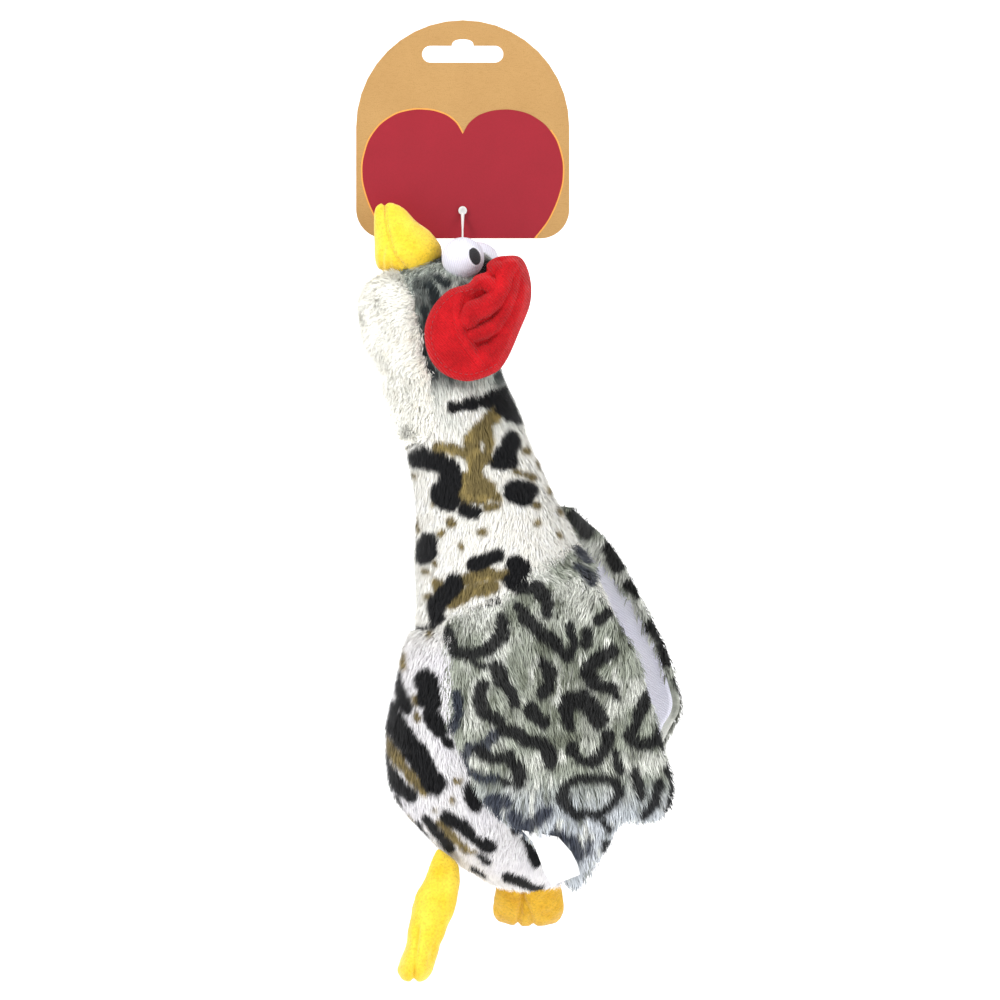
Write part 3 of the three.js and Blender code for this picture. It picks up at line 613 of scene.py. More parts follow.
# the print: strokes as (half width, (x, z), ...) in mm from the bar; one black stroke is a painted shadow under the
# neck-belly seam
bodyPrint = dict(
    black=[
        (2.3, (-3.5, -57.8), (3, -56.5), (9, -54.8)), (3.4, (9, -55), (16, -53.6), (21, -55)),
        (4.2, (16, -57), (20, -60.5)),
        (3.7, (-17, -77.5), (-10, -78.5), (-5.5, -81.5)), (4.4, (-4.8, -82), (-4.3, -87), (-6, -92)),
        (4.4, (-7.5, -91.5), (-5, -94)), (2.7, (1.5, -97.5), (5, -98.5)),
        (2.2, (18.2, -69), (13.5, -78.5)), (2.8, (18.6, -71), (18.2, -78.5)), (2.4, (12.8, -79.5), (18, -79.3)),
        (4.5, (20.5, -90.5), (23.8, -92)), (1.5, (24, -62), (27, -67)), (1.6, (30.5, -77), (33.5, -85)),
        (1.1, (35, -90), (35.8, -93)), (1.3, (-20.5, -90), (-18.5, -99)), (1.2, (41, -99), (42.5, -103)),
        (4.0, (-13, -110.8), (-14, -115.2)), (2.8, (4.5, -119.3), (10, -117), (14.3, -115.2)),
        (3.5, (21, -119.3), (23, -121)), (2.6, (19, -125.5), (24, -128.5)),
        (3.6, (-3, -126), (-6, -130.5), (-9.5, -135.5)), (2.6, (-10, -137), (-9, -140)),
        (2.5, (-25.5, -162), (-23, -169), (-20.5, -175)), (4.2, (-13, -164), (-12.2, -172)),
        (3.3, (-11.5, -177), (-8.8, -183.5)), (1.9, (-6.5, -187), (-5, -188.5)),
        (4.2, (-28.5, -176), (-24, -184), (-18, -192), (-14, -198), (-10.8, -204)),
        (2.7, (-31, -195), (-27, -202), (-20, -209.5)), (3.4, (3.6, -206.8), (5.2, -211.8)),
        (2.3, (-13.5, -218.5), (-10, -223), (-5, -229.3)), (2.5, (-6, -217), (0, -220.3), (5, -226), (11, -229)),
        (1.5, (7, -232.5), (10.3, -234.6)), (1.5, (17.5, -217), (21, -223)),
        (2.3, (25.5, -225.5), (28, -231), (29.2, -235)),
        (2.0, (18.5, -241), (24, -243.3), (31, -246.8)), (0.9, (4, -238), (8.5, -240.2)),
        (1.3, (-18, -221), (-13.5, -227.5)), (1.3, (-26, -210), (-24, -215)), (1.0, (-29, -205), (-27.5, -207)),
        # painted shadow: the dark crease under the seam where the belly joins the neck
        (1.0, (-20, -145), (-10, -143)),
        # under the near wing, and in sight on the far side
        (3.2, (12, -152), (18, -158), (19, -164)), (2.6, (30, -150), (36, -155)),
        (3.6, (27, -165), (33, -170), (35, -178)),
        (2.4, (10, -172), (14, -178)), (3.0, (20, -183), (27, -188), (29, -196)), (2.2, (38, -188), (41, -195)),
        (2.6, (42, -166), (46, -171)), (2.0, (14, -190), (17, -194)), (2.8, (36, -204), (40, -211)),
        (2.0, (45, -203), (47, -207)),
    ],
    olive=[
        (2.6, (21, -169), (24, -174)), (2.2, (33, -160), (38, -163)), (2.2, (22, -194), (25, -199)),
        (1.4, (44, -181), (44.6, -182)),
        (3.2, (12, -61), (7, -66), (3.5, -71), (5, -76)), (3.6, (5, -78), (5.5, -84)), (4.2, (3, -86.5), (9, -90)),
        (2.2, (-9, -72.5), (-4, -74), (1, -75.5)), (1.8, (11.5, -91), (13.2, -93)),
        (2.4, (9.5, -66), (10, -72), (9, -78)),
        (3.2, (1, -92), (7, -93)), (1.3, (19.8, -83.3), (23.5, -83.8), (27, -85.3)), (1.4, (23.5, -75), (24.5, -75)),
        (1.2, (27.5, -72), (28, -74)), (0.9, (28.5, -79), (28.8, -81)), (1.3, (28.5, -96), (29, -96.5)),
        (1.2, (37, -98.5), (37.5, -99.3)), (1.4, (27.8, -103.3), (28.8, -103)), (1.2, (36.8, -107.5), (37.5, -108.3)),
        (0.9, (33, -90), (33.3, -91.5)), (1.5, (9.8, -97.2), (13, -96.6)), (1.8, (-4.5, -102.3), (-3.5, -102.8)),
        (1.2, (-8, -107), (-7.4, -106.8)), (1.4, (7.5, -106.2), (8.4, -106)), (1.3, (-0.6, -112), (0, -112.4)),
        (1.1, (-18.8, -84), (-18.4, -84.5)), (1.1, (-17.5, -102), (-16.5, -106)),
        (1.1, (-10.2, -118.5), (-9.8, -119)),
        (1.3, (-13.5, -122), (-12.8, -122.4)), (1.2, (-19.3, -132), (-19, -134)), (1.2, (-18.8, -138), (-18.5, -139)),
        (1.0, (-11, -95), (-10.7, -95.6)), (1.6, (-12.5, -131.5), (-11.5, -133)),
        (2.6, (-8.5, -127), (-8, -129)), (2.6, (1, -125), (9, -123), (18, -123.5)),
        (2.8, (-3.5, -134), (4, -129.5), (12.5, -127.8)),
        (2.3, (-31.5, -184), (-27, -192), (-21, -199.5), (-14.5, -206.5)),
        (1.9, (-9, -219), (-4, -224.5), (1.5, -230)),
        (1.2, (3.5, -231), (5.5, -231)), (1.1, (-12, -146), (-11.7, -147)), (1.3, (-17.6, -171), (-17, -173)),
        (1.2, (-17.2, -177), (-16.8, -179)), (1.5, (-2.4, -203), (-1.6, -203)), (1.0, (-4.2, -210), (-3.8, -210.3)),
        (0.9, (-11.2, -214.5), (-10.8, -214.6)), (1.5, (-23.5, -152), (-21.5, -159)),
        (1.2, (-21.5, -218), (-19.5, -221)),
        (1.0, (13.5, -144), (13, -145)),
    ],
    cheek=[
        (2.6, (-12, -11.5), (-10, -16)), (2.0, (-15, -20), (-14, -25)), (1.9, (-15.8, -30), (-15.2, -37)),
        (2.0, (-13.8, -41), (-12, -46)), (1.6, (-11.5, -50), (-11, -54)), (2.4, (-8.5, -8.5), (-6, -10)),
        (2.4, (-4, -49.6), (1.5, -50.8)), (3.0, (14, -46), (18.5, -52)), (2.6, (8, -3), (12, -9)),
        (2.6, (14, -20), (16, -28)),
        (2.2, (2, -30), (6, -36)),
    ],
)
wingPrint = dict(
    black=[
        (2.4, (-5, -146.5), (-2.5, -152), (4, -153.8), (11, -151), (15.3, -147), (15.8, -141)),
        (1.4, (5, -156.5), (8, -158)),
        (1.5, (4.5, -134.8), (13.5, -133.2)), (2.3, (21, -128.5), (28, -128.3), (32.6, -132.5), (33.2, -137.5)),
        (2.4, (24, -139), (29, -144), (35, -148), (40.5, -153)), (1.7, (41.8, -142), (42.8, -149), (41.6, -154)),
        (1.8, (22, -135.5), (25.5, -141)),
        (2.4, (57.5, -152), (52, -155.5), (47.8, -159.5), (51.2, -164.3), (58.2, -166.3)),
        (1.3, (59.5, -167), (60, -170)), (2.1, (31, -156), (34, -160), (33, -166), (31, -168)),
        (2.7, (13.5, -158.5), (15.3, -163)),
        (1.9, (17, -165.5), (20, -172)), (2.2, (8, -165.5), (6.5, -170.5), (9, -176), (14, -178.6)),
        (2.6, (26, -174), (31, -179)),
        (2.2, (41.3, -181), (40, -174)), (3.3, (41, -172), (46, -170.5), (50.5, -174), (52.3, -178)),
        (2.4, (16, -182), (22, -184), (25.5, -187), (30, -187.3), (33, -190), (34, -195)),
        (2.2, (7, -191), (12, -193), (18, -193), (22, -198), (22.5, -203)), (1.7, (16.5, -202), (18, -202.5)),
        (2.2, (38.8, -209), (39.5, -204)), (1.8, (40, -203), (45, -200.8), (52, -200.5), (57.5, -201.2), (60.3, -205),
                                           (58, -211), (52, -214.8), (45, -215), (40.5, -212), (38.5, -208)),
        (2.0, (42, -189), (45, -193), (50, -194), (55, -190), (56.5, -184)), (1.8, (59.3, -191), (60.5, -197)),
        (2.2, (73, -167), (69, -175), (65, -184), (68.5, -187.8), (74, -187.3)), (1.4, (76, -183), (77, -189)),
        (1.8, (66, -198), (68, -204), (68.5, -208)), (2.0, (75, -203), (74.3, -210), (70, -215)),
        (1.9, (80, -198), (82, -205), (79.3, -214)), (1.3, (55, -217.5), (57, -221)),
        (1.3, (55.5, -226), (54.5, -229)),
        (1.8, (57, -137.3), (52.5, -140.5)), (2.0, (49, -144), (47.8, -149)), (1.7, (62.5, -142), (64.5, -146)),
    ],
    navy=[
        (2.0, (-2, -170), (-1, -176), (-3.5, -182.5)),
        (1.9, (12.5, -184), (9, -188), (3, -190), (1, -194.5), (3.5, -199), (9, -201), (13, -201)),
        (2.5, (12, -209.3), (17, -209.3)), (1.5, (13.6, -212), (13.3, -216.5)), (2.3, (20.5, -215.5), (22, -218.5)),
        (1.3, (20, -222), (24, -223)),
        (2.2, (33, -213), (29, -217), (25, -220.5)), (2.3, (36.5, -223), (42.5, -225), (45, -229.5)),
        (1.4, (49, -225), (48.7, -229.5)),
        (2.0, (43, -112), (48, -118)), (1.8, (44, -121), (50, -126)), (1.6, (52, -122), (55, -129)),
    ],
)
farWingEdgePrint = [
    (2.6, (44, -100), (49, -106)), (3.0, (59, -113.5), (61.5, -119)), (2.0, (66, -127.5), (68.5, -131)),
    (2.5, (75.5, -144), (78, -148)), (2.4, (79.5, -152), (81, -158)), (1.6, (84, -166), (86.5, -170)),
]
shoulderLine = [(-8, -143.5), (-3, -139.5), (3, -136.5), (9, -134), (15, -131.8), (19.5, -129), (24, -124.5),
                (27.5, -120.8),
                (33, -118.8), (38, -117), (42, -114), (46, -109)]

dyes = dict(
    black=shade(12, 13, 17), navy=shade(26, 34, 56), olive=shade(112, 94, 30), oliveLight=shade(160, 138, 68),
    cream=shade(255, 253, 246), lavender=shade(249, 247, 252), pale=shade(228, 231, 224),
    cheek=shade(186, 194, 186), cheekDark=shade(44, 52, 54),
    throat=shade(255, 254, 247), throatDark=shade(255, 251, 240),
    wing=shade(172, 178, 164), wingLight=shade(236, 238, 230),
    wingDark=shade(98, 103, 86), wingBlue=shade(206, 212, 222),
)


def covered(flat, strokes, points, feather, seed, swell=1.0):  # how far each point lies under the strokes, 0 to 1
    wobble = wander(points, 4.2, seed) * 0.75 + wander(points, 1.9, seed + 1) * 0.5
    wobble += wander(points, 0.8, seed + 2) * 0.3
    best = np.full(len(flat), -9.0)
    for half, *line in strokes:
        half *= swell
        line = np.array(line, float)
        low, high = line.min(0) - half - 2, line.max(0) + half + 2
        near = ((flat > low) & (flat < high)).all(axis=1)
        if near.any():
            depth = half - lineDistance(flat[near], line)
            best[near] = np.maximum(best[near], depth)
    return ease(best + wobble, -feather, feather)


def blendDyes(base, over, share):
    return base + (np.array(over) - base) * np.clip(share, 0, 1)[:, None]


def flatPlaces(points, side):  # where a point falls in the print; the right panels are cut the other way round
    form = through(body["rows"], points[:, 2])
    x = points[:, 0]
    if side > 0:
        return np.stack([form[:, 0] + form[:, 1] - x, points[:, 2] + 5], axis=1)
    return np.stack([x, points[:, 2]], axis=1)


def dyeBody(points, side):
    flat = flatPlaces(points, side)
    z = points[:, 2]
    base = np.tile(dyes["cream"], (len(points), 1))
    base = blendDyes(base, dyes["lavender"], ease(-z, 142, 156) * (0.75 + 0.25 * wander(points, 14, 11)))
    base = blendDyes(base, dyes["pale"], ease(z, -73, -60) * 0.9 * ease(-wander(points, 6, 12), -0.9, 0.3))
    grey = ease(z, -53, -45)
    base = blendDyes(base, dyes["cheek"], grey)
    wisps = wander(points * (1, 1, 0.35), 1.5, 18) + 0.5 * wander(points, 4, 19)
    base = blendDyes(base, dyes["wingLight"], grey * ease(wisps, 0.1, 0.8) * 0.85)
    base = blendDyes(base, dyes["wingDark"], grey * ease(-wisps, 0.2, 0.9) * 0.6)
    mottle = ease(wander(points, 5.5, 13), 0.05, 0.4)
    base = blendDyes(base, dyes["cheekDark"], grey * mottle * 0.75)
    base = blendDyes(base, dyes["cheekDark"], covered(flat, bodyPrint["cheek"], points, 1.0, 14) * grey)
    olive = covered(flat, bodyPrint["olive"], points, 0.8, 15)
    tone = np.tile(dyes["olive"], (len(points), 1))
    tone = blendDyes(tone, dyes["oliveLight"], ease(wander(points, 2.6, 16), 0.0, 0.6) * 0.8)
    base = base + (tone - base) * (olive * 0.95)[:, None]
    base = blendDyes(base, dyes["black"], covered(flat, bodyPrint["black"], points, 0.55, 17, 1.08) * ease(-z, 44, 50))
    return base


def dyeThroat(points):
    base = np.tile(dyes["throat"], (len(points), 1))
    return blendDyes(base, dyes["throatDark"], ease(wander(points, 2.4, 21), 0.1, 0.7) * 0.55)


def dyeWing(points, side, extra=()):
    flat = points[:, [0, 2]]
    base = np.tile(dyes["wing"], (len(points), 1))
    base = blendDyes(base, dyes["wingLight"], ease(wander(points, 9, 31), -0.15, 0.45) * 0.85)
    core = np.exp(-(((flat[:, 0] - 40) / 16) ** 2 + ((flat[:, 1] + 168) / 20) ** 2))
    base = blendDyes(base, dyes["wingDark"], core * 0.85 + ease(wander(points, 6, 32), 0.1, 0.6) * 0.45)
    base = blendDyes(base, dyes["wingBlue"], ease(-flat[:, 1], 196, 218) * 0.8)
    # streaks: light wisps of the print, and darker streaks that are partly real tone and partly painted shade between
    # the fur locks
    streak = wander(points * (1, 1, 0.32), 1.7, 36) + 0.6 * wander(points * (1, 1, 0.4), 3.6, 37)
    base = blendDyes(base, dyes["wingLight"], ease(streak, 0.2, 0.9) * 0.85)
    base = blendDyes(base, dyes["wingDark"], ease(-streak, 0.2, 0.95) * 0.75)
    base = blendDyes(base, dyes["navy"], covered(flat, wingPrint["navy"], points, 1.0, 33, 1.2) * 0.92)
    base = blendDyes(base, dyes["black"], covered(flat, [*wingPrint["black"], *extra], points, 0.75, 34, 1.22) * 0.97)
    if side < 0:  # above the shoulder the wing's cloth carries the neck's print
        above = flat[:, 1] - np.interp(flat[:, 0], [p[0] for p in shoulderLine], [p[1] for p in shoulderLine])
        share = ease(above + wander(points, 3, 35) * 1.2, -1.2, 1.2)
        base = base + (dyeBody(points, side) - base) * share[:, None]
    return base


# node trees

def newTree(name, sockets):
    tree = bpy.data.node_groups.new(name, "GeometryNodeTree")
    tree.interface.new_socket("Geometry", in_out="INPUT", socket_type="NodeSocketGeometry")
    tree.interface.new_socket("Geometry", in_out="OUTPUT", socket_type="NodeSocketGeometry")
    for label, kind, value in sockets:
        made = tree.interface.new_socket(label, in_out="INPUT", socket_type="NodeSocket" + kind)
        if value is not None:
            made.default_value = value
    return tree, addNode(tree, "NodeGroupInput"), addNode(tree, "NodeGroupOutput")


def attributeNode(tree, name, kind="FLOAT"):
    made = addNode(tree, "GeometryNodeInputNamedAttribute", {"Name": name}, data_type=kind)
    return next(o for o in made.outputs if o.enabled and o.name == "Attribute")


def mathNode(tree, operation, first, second):
    return addNode(tree, "ShaderNodeMath", {0: first, 1: second}, operation=operation).outputs[0]


def vectorNode(tree, operation, first, second):
    inputs = {0: first, "Scale" if operation == "SCALE" else 1: second}
    return addNode(tree, "ShaderNodeVectorMath", inputs, operation=operation).outputs["Vector"]


def turnTo(tree, vector, axis, **more):
    inputs = {"Vector": vector}
    if "rotation" in more:
        inputs["Rotation"] = more.pop("rotation")
    return addNode(tree, "FunctionNodeAlignRotationToVector", inputs, axis=axis, **more).outputs["Rotation"]


def plantOn(tree, end, points, thing, rotation, material, **more):  # a copy of an object at each point
    shape = addNode(tree, "GeometryNodeObjectInfo", {"Object": thing}).outputs["Geometry"]
    inputs = {"Points": points, "Instance": shape, "Rotation": rotation, **more}
    plant = addNode(tree, "GeometryNodeInstanceOnPoints", inputs)
    real = addNode(tree, "GeometryNodeRealizeInstances", {"Geometry": plant.outputs["Instances"]})
    finish = addNode(tree, "GeometryNodeSetMaterial", {"Geometry": real.outputs["Geometry"], "Material": material})
    tree.links.new(finish.outputs["Geometry"], end.inputs["Geometry"])


def useTree(obj, tree, **values):
    modifier = obj.modifiers.new(tree.name, "NODES")
    modifier.node_group = tree
    for item in tree.interface.items_tree:
        if item.item_type == "SOCKET" and item.in_out == "INPUT" and item.name in values:
            modifier[item.identifier] = values[item.name]
    return modifier


def makePileTree():
    tree, start, end = newTree("combedPile", [
        ("Blade", "Object", None), ("Density", "Float", 3e6), ("Length", "Float", 0.004), ("Width", "Float", 0.0004),
        ("Unevenness", "Float", 0.3), ("Swirl", "Float", 0.5), ("Swirl size", "Float", 100.0), ("Lock", "Float", 0.4),
        ("Lock size", "Float", 420.0), ("Ruffle", "Float", 0.3), ("Seed", "Int", 1), ("Material", "Material", None)])
    given = start.outputs
    density = mathNode(tree, "MULTIPLY", given["Density"], attributeNode(tree, "cover"))
    scatter = addNode(tree, "GeometryNodeDistributePointsOnFaces", {
        "Mesh": given["Geometry"], "Density": density, "Seed": given["Seed"]}, distribute_method="RANDOM").outputs
    place = addNode(tree, "GeometryNodeInputPosition").outputs[0]
    points = scatter["Points"]
    for name, value in (("root", place), ("ground", scatter["Normal"])):
        points = addNode(tree, "GeometryNodeStoreNamedAttribute", {"Geometry": points, "Name": name, "Value": value},
                         data_type="FLOAT_VECTOR", domain="POINT").outputs["Geometry"]

    def waves(size, strength):  # how the comb direction drifts
        noise = addNode(tree, "ShaderNodeTexNoise", {"Vector": place, "Scale": size, "Detail": 1.0}).outputs["Color"]
        return vectorNode(tree, "SCALE", vectorNode(tree, "SUBTRACT", noise, (0.5, 0.5, 0.5)), strength)

    def corner(value):
        return addNode(tree, "FunctionNodeInputVector", vector=value).outputs["Vector"]

    drift = vectorNode(tree, "ADD", waves(given["Swirl size"], given["Swirl"]),
                       waves(given["Lock size"], given["Lock"]))
    comb = vectorNode(tree, "ADD", attributeNode(tree, "comb", "FLOAT_VECTOR"), drift)
    lying = turnTo(tree, comb, "Y", pivot_axis="Z", rotation=turnTo(tree, scatter["Normal"], "Z"))
    loose = addNode(tree, "FunctionNodeRandomValue", {
        "Max": vectorNode(tree, "SCALE", corner((1, 1, 1)), given["Ruffle"]),
        "Min": vectorNode(tree, "SCALE", corner((-1, -1, -1)), given["Ruffle"]), "Seed": given["Seed"]},
        data_type="FLOAT_VECTOR").outputs["Value"]
    turn = addNode(tree, "FunctionNodeEulerToRotation", {"Euler": loose}).outputs["Rotation"]
    ruffled = addNode(tree, "FunctionNodeRotateRotation", {"Rotation": lying, "Rotate By": turn},
                      rotation_space="LOCAL")
    uneven = addNode(tree, "FunctionNodeRandomValue", data_type="FLOAT")
    for end_, operation in (("Min", "SUBTRACT"), ("Max", "ADD")):
        tree.links.new(mathNode(tree, operation, 1.0, given["Unevenness"]),
                       next(i for i in uneven.inputs if i.name == end_ and i.enabled))
    length = mathNode(tree, "MULTIPLY", mathNode(tree, "MULTIPLY", given["Length"], attributeNode(tree, "long")),
                      next(o for o in uneven.outputs if o.enabled))
    size = addNode(tree, "ShaderNodeCombineXYZ", {"X": given["Width"], "Y": length, "Z": length}).outputs["Vector"]
    plantOn(tree, end, points, given["Blade"], ruffled.outputs["Rotation"], given["Material"], Scale=size)
    return tree


def makeBlade(name, stations):  # one fibre lock: rises from the backing along Z and lies down along Y
    points, faces, along = [], [], []
    for y, z, half in stations[:-1]:
        points += [(-half, y, z), (half, y, z)]
        along += [y, y]
    for k in range(len(stations) - 2):
        a = 2 * k
        faces.append((a, a + 1, a + 3, a + 2))
    points.append((0, stations[-1][0], stations[-1][1]))
    along.append(1.0)
    last = len(points) - 1
    faces.append((last - 2, last - 1, last))
    mesh = bpy.data.meshes.new(name)
    mesh.from_pydata(points, [], faces)
    setAttribute(mesh, "along", "FLOAT", along)
    return addObject(name, mesh)


pileTree = makePileTree()
blades = dict(
    short=makeBlade("shortBlade", [(0, -0.05, 0.5), (0.45, 0.34, 0.5), (1.0, 0.40, 0)]),
    long=makeBlade("longBlade", [(0, -0.05, 0.5), (0.3, 0.27, 0.52), (0.68, 0.38, 0.4), (1.0, 0.34, 0)]),
    curl=makeBlade("curlBlade", [(0, -0.05, 0.5), (0.35, 0.55, 0.55), (0.8, 0.85, 0)]),
)


def growPile(panel, name, blade, seed, dyeing, density, length, width, unevenness=0.3, swirl=0.7, swirlSize=90.0,
             lock=0.55, lockSize=380.0, ruffle=0.28, contrast=0.08, material="fur",
             softNormal=0.8):
    grown = addObject(name, panel.data.copy())
    useTree(grown, pileTree, Blade=blades[blade], Density=density * 1e6, Length=length * mm, Width=width * mm,
            Unevenness=unevenness, Swirl=swirl, Lock=lock, Ruffle=ruffle, Seed=seed, Material=materials[material],
            **{"Swirl size": swirlSize, "Lock size": lockSize})
    settle(grown)
    mesh = grown.data
    roots = (vectors(mesh.attributes["root"].data, "vector") - birdAt) / mm
    colour = dyeing(roots * 0.5 + birdPoints(mesh) * 0.5)  # the print lies on the pile's surface
    fibre = np.abs(np.modf(np.sin(roots @ np.array([12.9898, 78.233, 37.719])) * 43758.5453)[0]) * 2 - 1
    locks = wander(roots, 1.6, seed + 50)
    lightness = 1 + contrast * (0.8 * fibre + 1.0 * locks)
    colour = np.clip(colour * lightness[:, None], 0, 1)
    paint(mesh, colour)
    soft = vectors(mesh.attributes["ground"].data, "vector")
    for attribute in [a.name for a in mesh.attributes if a.name in ("root", "ground", "comb", "cover", "long")]:
        mesh.attributes.remove(mesh.attributes[attribute])
    flatUV(grown)
    mesh.shade_smooth()
    bm = bmesh.new()
    bm.from_mesh(mesh)
    for face in bm.faces:
        if face.normal.dot(soft[face.verts[0].index]) < 0:
            face.normal_flip()
    bm.to_mesh(mesh)
    bm.free()
    own = normalArray(mesh)
    soft = soft * softNormal + own * (1 - softNormal)
    mesh.normals_split_custom_set_from_vertices((soft / np.linalg.norm(soft, axis=1)[:, None]).tolist())
    print("  pile", name, sum(len(p.vertices) - 2 for p in mesh.polygons), "triangles")
    return grown


# wings: a printed fur face and a smooth lining, sewn along the shoulder
wing = dict(
    rows=[(-80, -24, 84, 32.5), (-95, -27, 90, 33.5), (-113, -29, 97, 35.2), (-130, -30, 102, 38),
          (-144, -31, 105, 40),
          (-164, -35, 107, 42.5), (-198, -37, 108, 43), (-217, -36, 106, 41.5), (-235, -34, 102, 38.5),
          (-262, -30, 96, 34)],
    leftOutline=[(-5.7, -142.5), (-6.9, -156), (-6.9, -176), (-1.5, -194.5), (8.8, -213.9), (22.9, -224.5),
                 (33.5, -234),
                 (42.5, -246), (51.5, -238), (58.6, -226.8), (63.5, -219.5), (69.5, -220), (77.5, -218.6),
                 (82.1, -212),
                 (82.6, -203), (79, -189), (77.6, -181), (73.5, -168), (70, -155), (61, -138.5), (52.5, -125),
                 (46.5, -113.5),
                 (41, -114), (33, -118.8), (27.5, -120.8), (24, -124.5), (19.5, -129), (15, -131.8), (9, -134),
                 (3, -136.5), (-3, -139.5)],
    rightOutline=[(-2, -128), (-6, -150), (-6, -172), (0, -190), (12, -206), (26, -217), (38, -232), (46, -235),
                  (56, -219),
                  (66, -209), (76, -203), (80, -196), (84.9, -186), (88.6, -178.5), (88.0, -170.4), (82.1, -151.6),
                  (71.5, -130.8), (61.7, -113.1), (50.4, -101.5), (38, -97.5), (22, -101), (8, -113)],
    backing=2.4,       # from the belly to the fur's backing
    # heights, and how far the far wing's pile comes round its edge
    turnOver=((-172, -163, -150, -135, -114), (0.0, 1.4, 4.2, 5.4, 8.5)),
    liningRise=1.1, middle=(36.0, -172.0),
    curve=1.06, margin=1.04, liningShare=0.93,  # flat cloth against the drawn outline
    hem=3.0,           # from the cloth's edge to the tips of the pile that hangs over it
)


def discMesh(outline, centre, rings):  # points from the middle out to a closed outline
    n = len(outline)
    reach = (np.arange(1, rings + 1) / rings) ** 0.92
    points = np.vstack([[centre]] + [centre + (outline - centre) * t for t in reach])
    faces = [(0, 1 + k, 1 + (k + 1) % n) for k in range(n)] + ringFaces(rings, n, 1)
    return points, faces, np.concatenate([[0], np.repeat(reach, n)])


def drawnIn(around, centre, by):
    away = around - centre
    return around - away / np.linalg.norm(away, axis=1)[:, None] * by


def closedSheet(name, front, back, faces, rim):  # two skins stitched round the rim
    n = len(front)
    all_ = list(faces) + [tuple(v + n for v in f[::-1]) for f in faces]
    for a, b in zip(rim, np.roll(rim, -1)):
        all_.append((int(a), int(b), int(b) + n, int(a) + n))
    return outwards(meshFrom(name, np.concatenate([front, back]), all_))


def makeWing(name, side, outline, sewnLine, seed):
    around = rounded(outline, 220)
    free = ease(lineDistance(around, sewnLine), 2, 14)
    around = drawnIn(around, wing["middle"], (wing["hem"] * free)[:, None])
    flat, faces, share = discMesh(around, np.array(wing["middle"]), 30)
    x, z = flat[:, 0], flat[:, 1]
    held = 1 - ease(lineDistance(flat, sewnLine), 1.0, 26)
    flap = np.stack([x, np.zeros(len(x)), z], axis=1)
    buckle = wander(flap, 26, seed) * 1.5 + wander(flap, 11, seed + 1) * 0.55
    loose = (1 - held) * ease(share, 0.15, 1.0)
    base = sideDepth(wing["rows"], x, z)
    low = np.minimum(sideDepth(body["rows"], x, z, 0) - 3.4, base)
    under = base + (low - base) * held ** 1.5 + buckle * loose * 0.9
    edge = 1 - ease(share, 0.955, 1.0) * 0.6
    outer = under + (wing["backing"] + 0.5) * (1 - held) * edge + held * 0.9
    inner = under + wing["liningRise"] * (1 - held) + 0.15
    outer = np.maximum(outer, inner + 0.45)
    front = np.stack([x, side * outer, z], axis=1)
    back = np.stack([x, side * inner, z], axis=1)
    rim = np.arange(len(flat) - len(around), len(flat))
    shell = closedSheet(name, front, back, faces, rim)
    return shell, flat, faces, share, inner, around


def wingLining(name, side, flat, faces, inner, keep):
    used = sorted({v for f in faces if all(keep[i] for i in f) for v in f})
    index = {v: i for i, v in enumerate(used)}
    kept = [tuple(index[v] for v in f) for f in faces if all(keep[i] for i in f)]
    front = np.stack([flat[used, 0], side * (inner[used] - 0.35), flat[used, 1]], axis=1)
    return settle(thicken(outwards(meshFrom(name, front, kept)), 0.45, 0))


def piece(obj, node, rides, material=None):
    if material is not None:
        obj.data.materials.clear()
        obj.data.materials.append(materials[material])
    if isinstance(rides, str):
        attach(obj, rides)
    else:
        upper, lower, ends = rides
        start, end = [tuple(birdAt + np.array((0, 0, e) if np.isscalar(e) else e) * mm) for e in ends]
        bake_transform(obj, upper, lower, start=start, end=end)
    if node:
        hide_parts(node)
    return obj


def combed(panel, cover, long, lean=(0, 0, -1), wave=None):
    mesh = panel.data
    n = normalArray(mesh)
    way = np.tile(np.array(lean, float), (len(n), 1)) if wave is None else wave
    way = way - n * (way * n).sum(axis=1)[:, None]
    way /= np.maximum(np.linalg.norm(way, axis=1), 1e-6)[:, None]
    setAttribute(mesh, "comb", "FLOAT_VECTOR", way)
    setAttribute(mesh, "cover", "FLOAT", cover)
    setAttribute(mesh, "long", "FLOAT", long)


def backCloth(panel, colour, thickness):
    paint(panel.data, colour)
    flatUV(panel)
    thicken(panel, thickness)


headMoves = ("head", "neck", nodBlend)
neckMoves = ("neck", "belly", neckBlend)
wingCover = (np.array(wing["leftOutline"]) * 0.9 + np.array([3.8, -17])).tolist()


def sidePanel(name, side, region):
    top, bottom = region
    cuts = [((0, 0, 0), (0, 1, 0)), ((0, 0, body["headEnd"]), (0, 0, 1)), ((0, 0, body["neckEnd"]), (0, 0, 1))]

    def keep(c):
        own = (c[:, 1] * side > 0) & (c[:, 2] < top) & (c[:, 2] > bottom)
        return own & ~((c[:, 0] < throatAt(c[:, 2])) & (c[:, 2] > -74))

    return skinPanel(skin, name, keep, cuts)


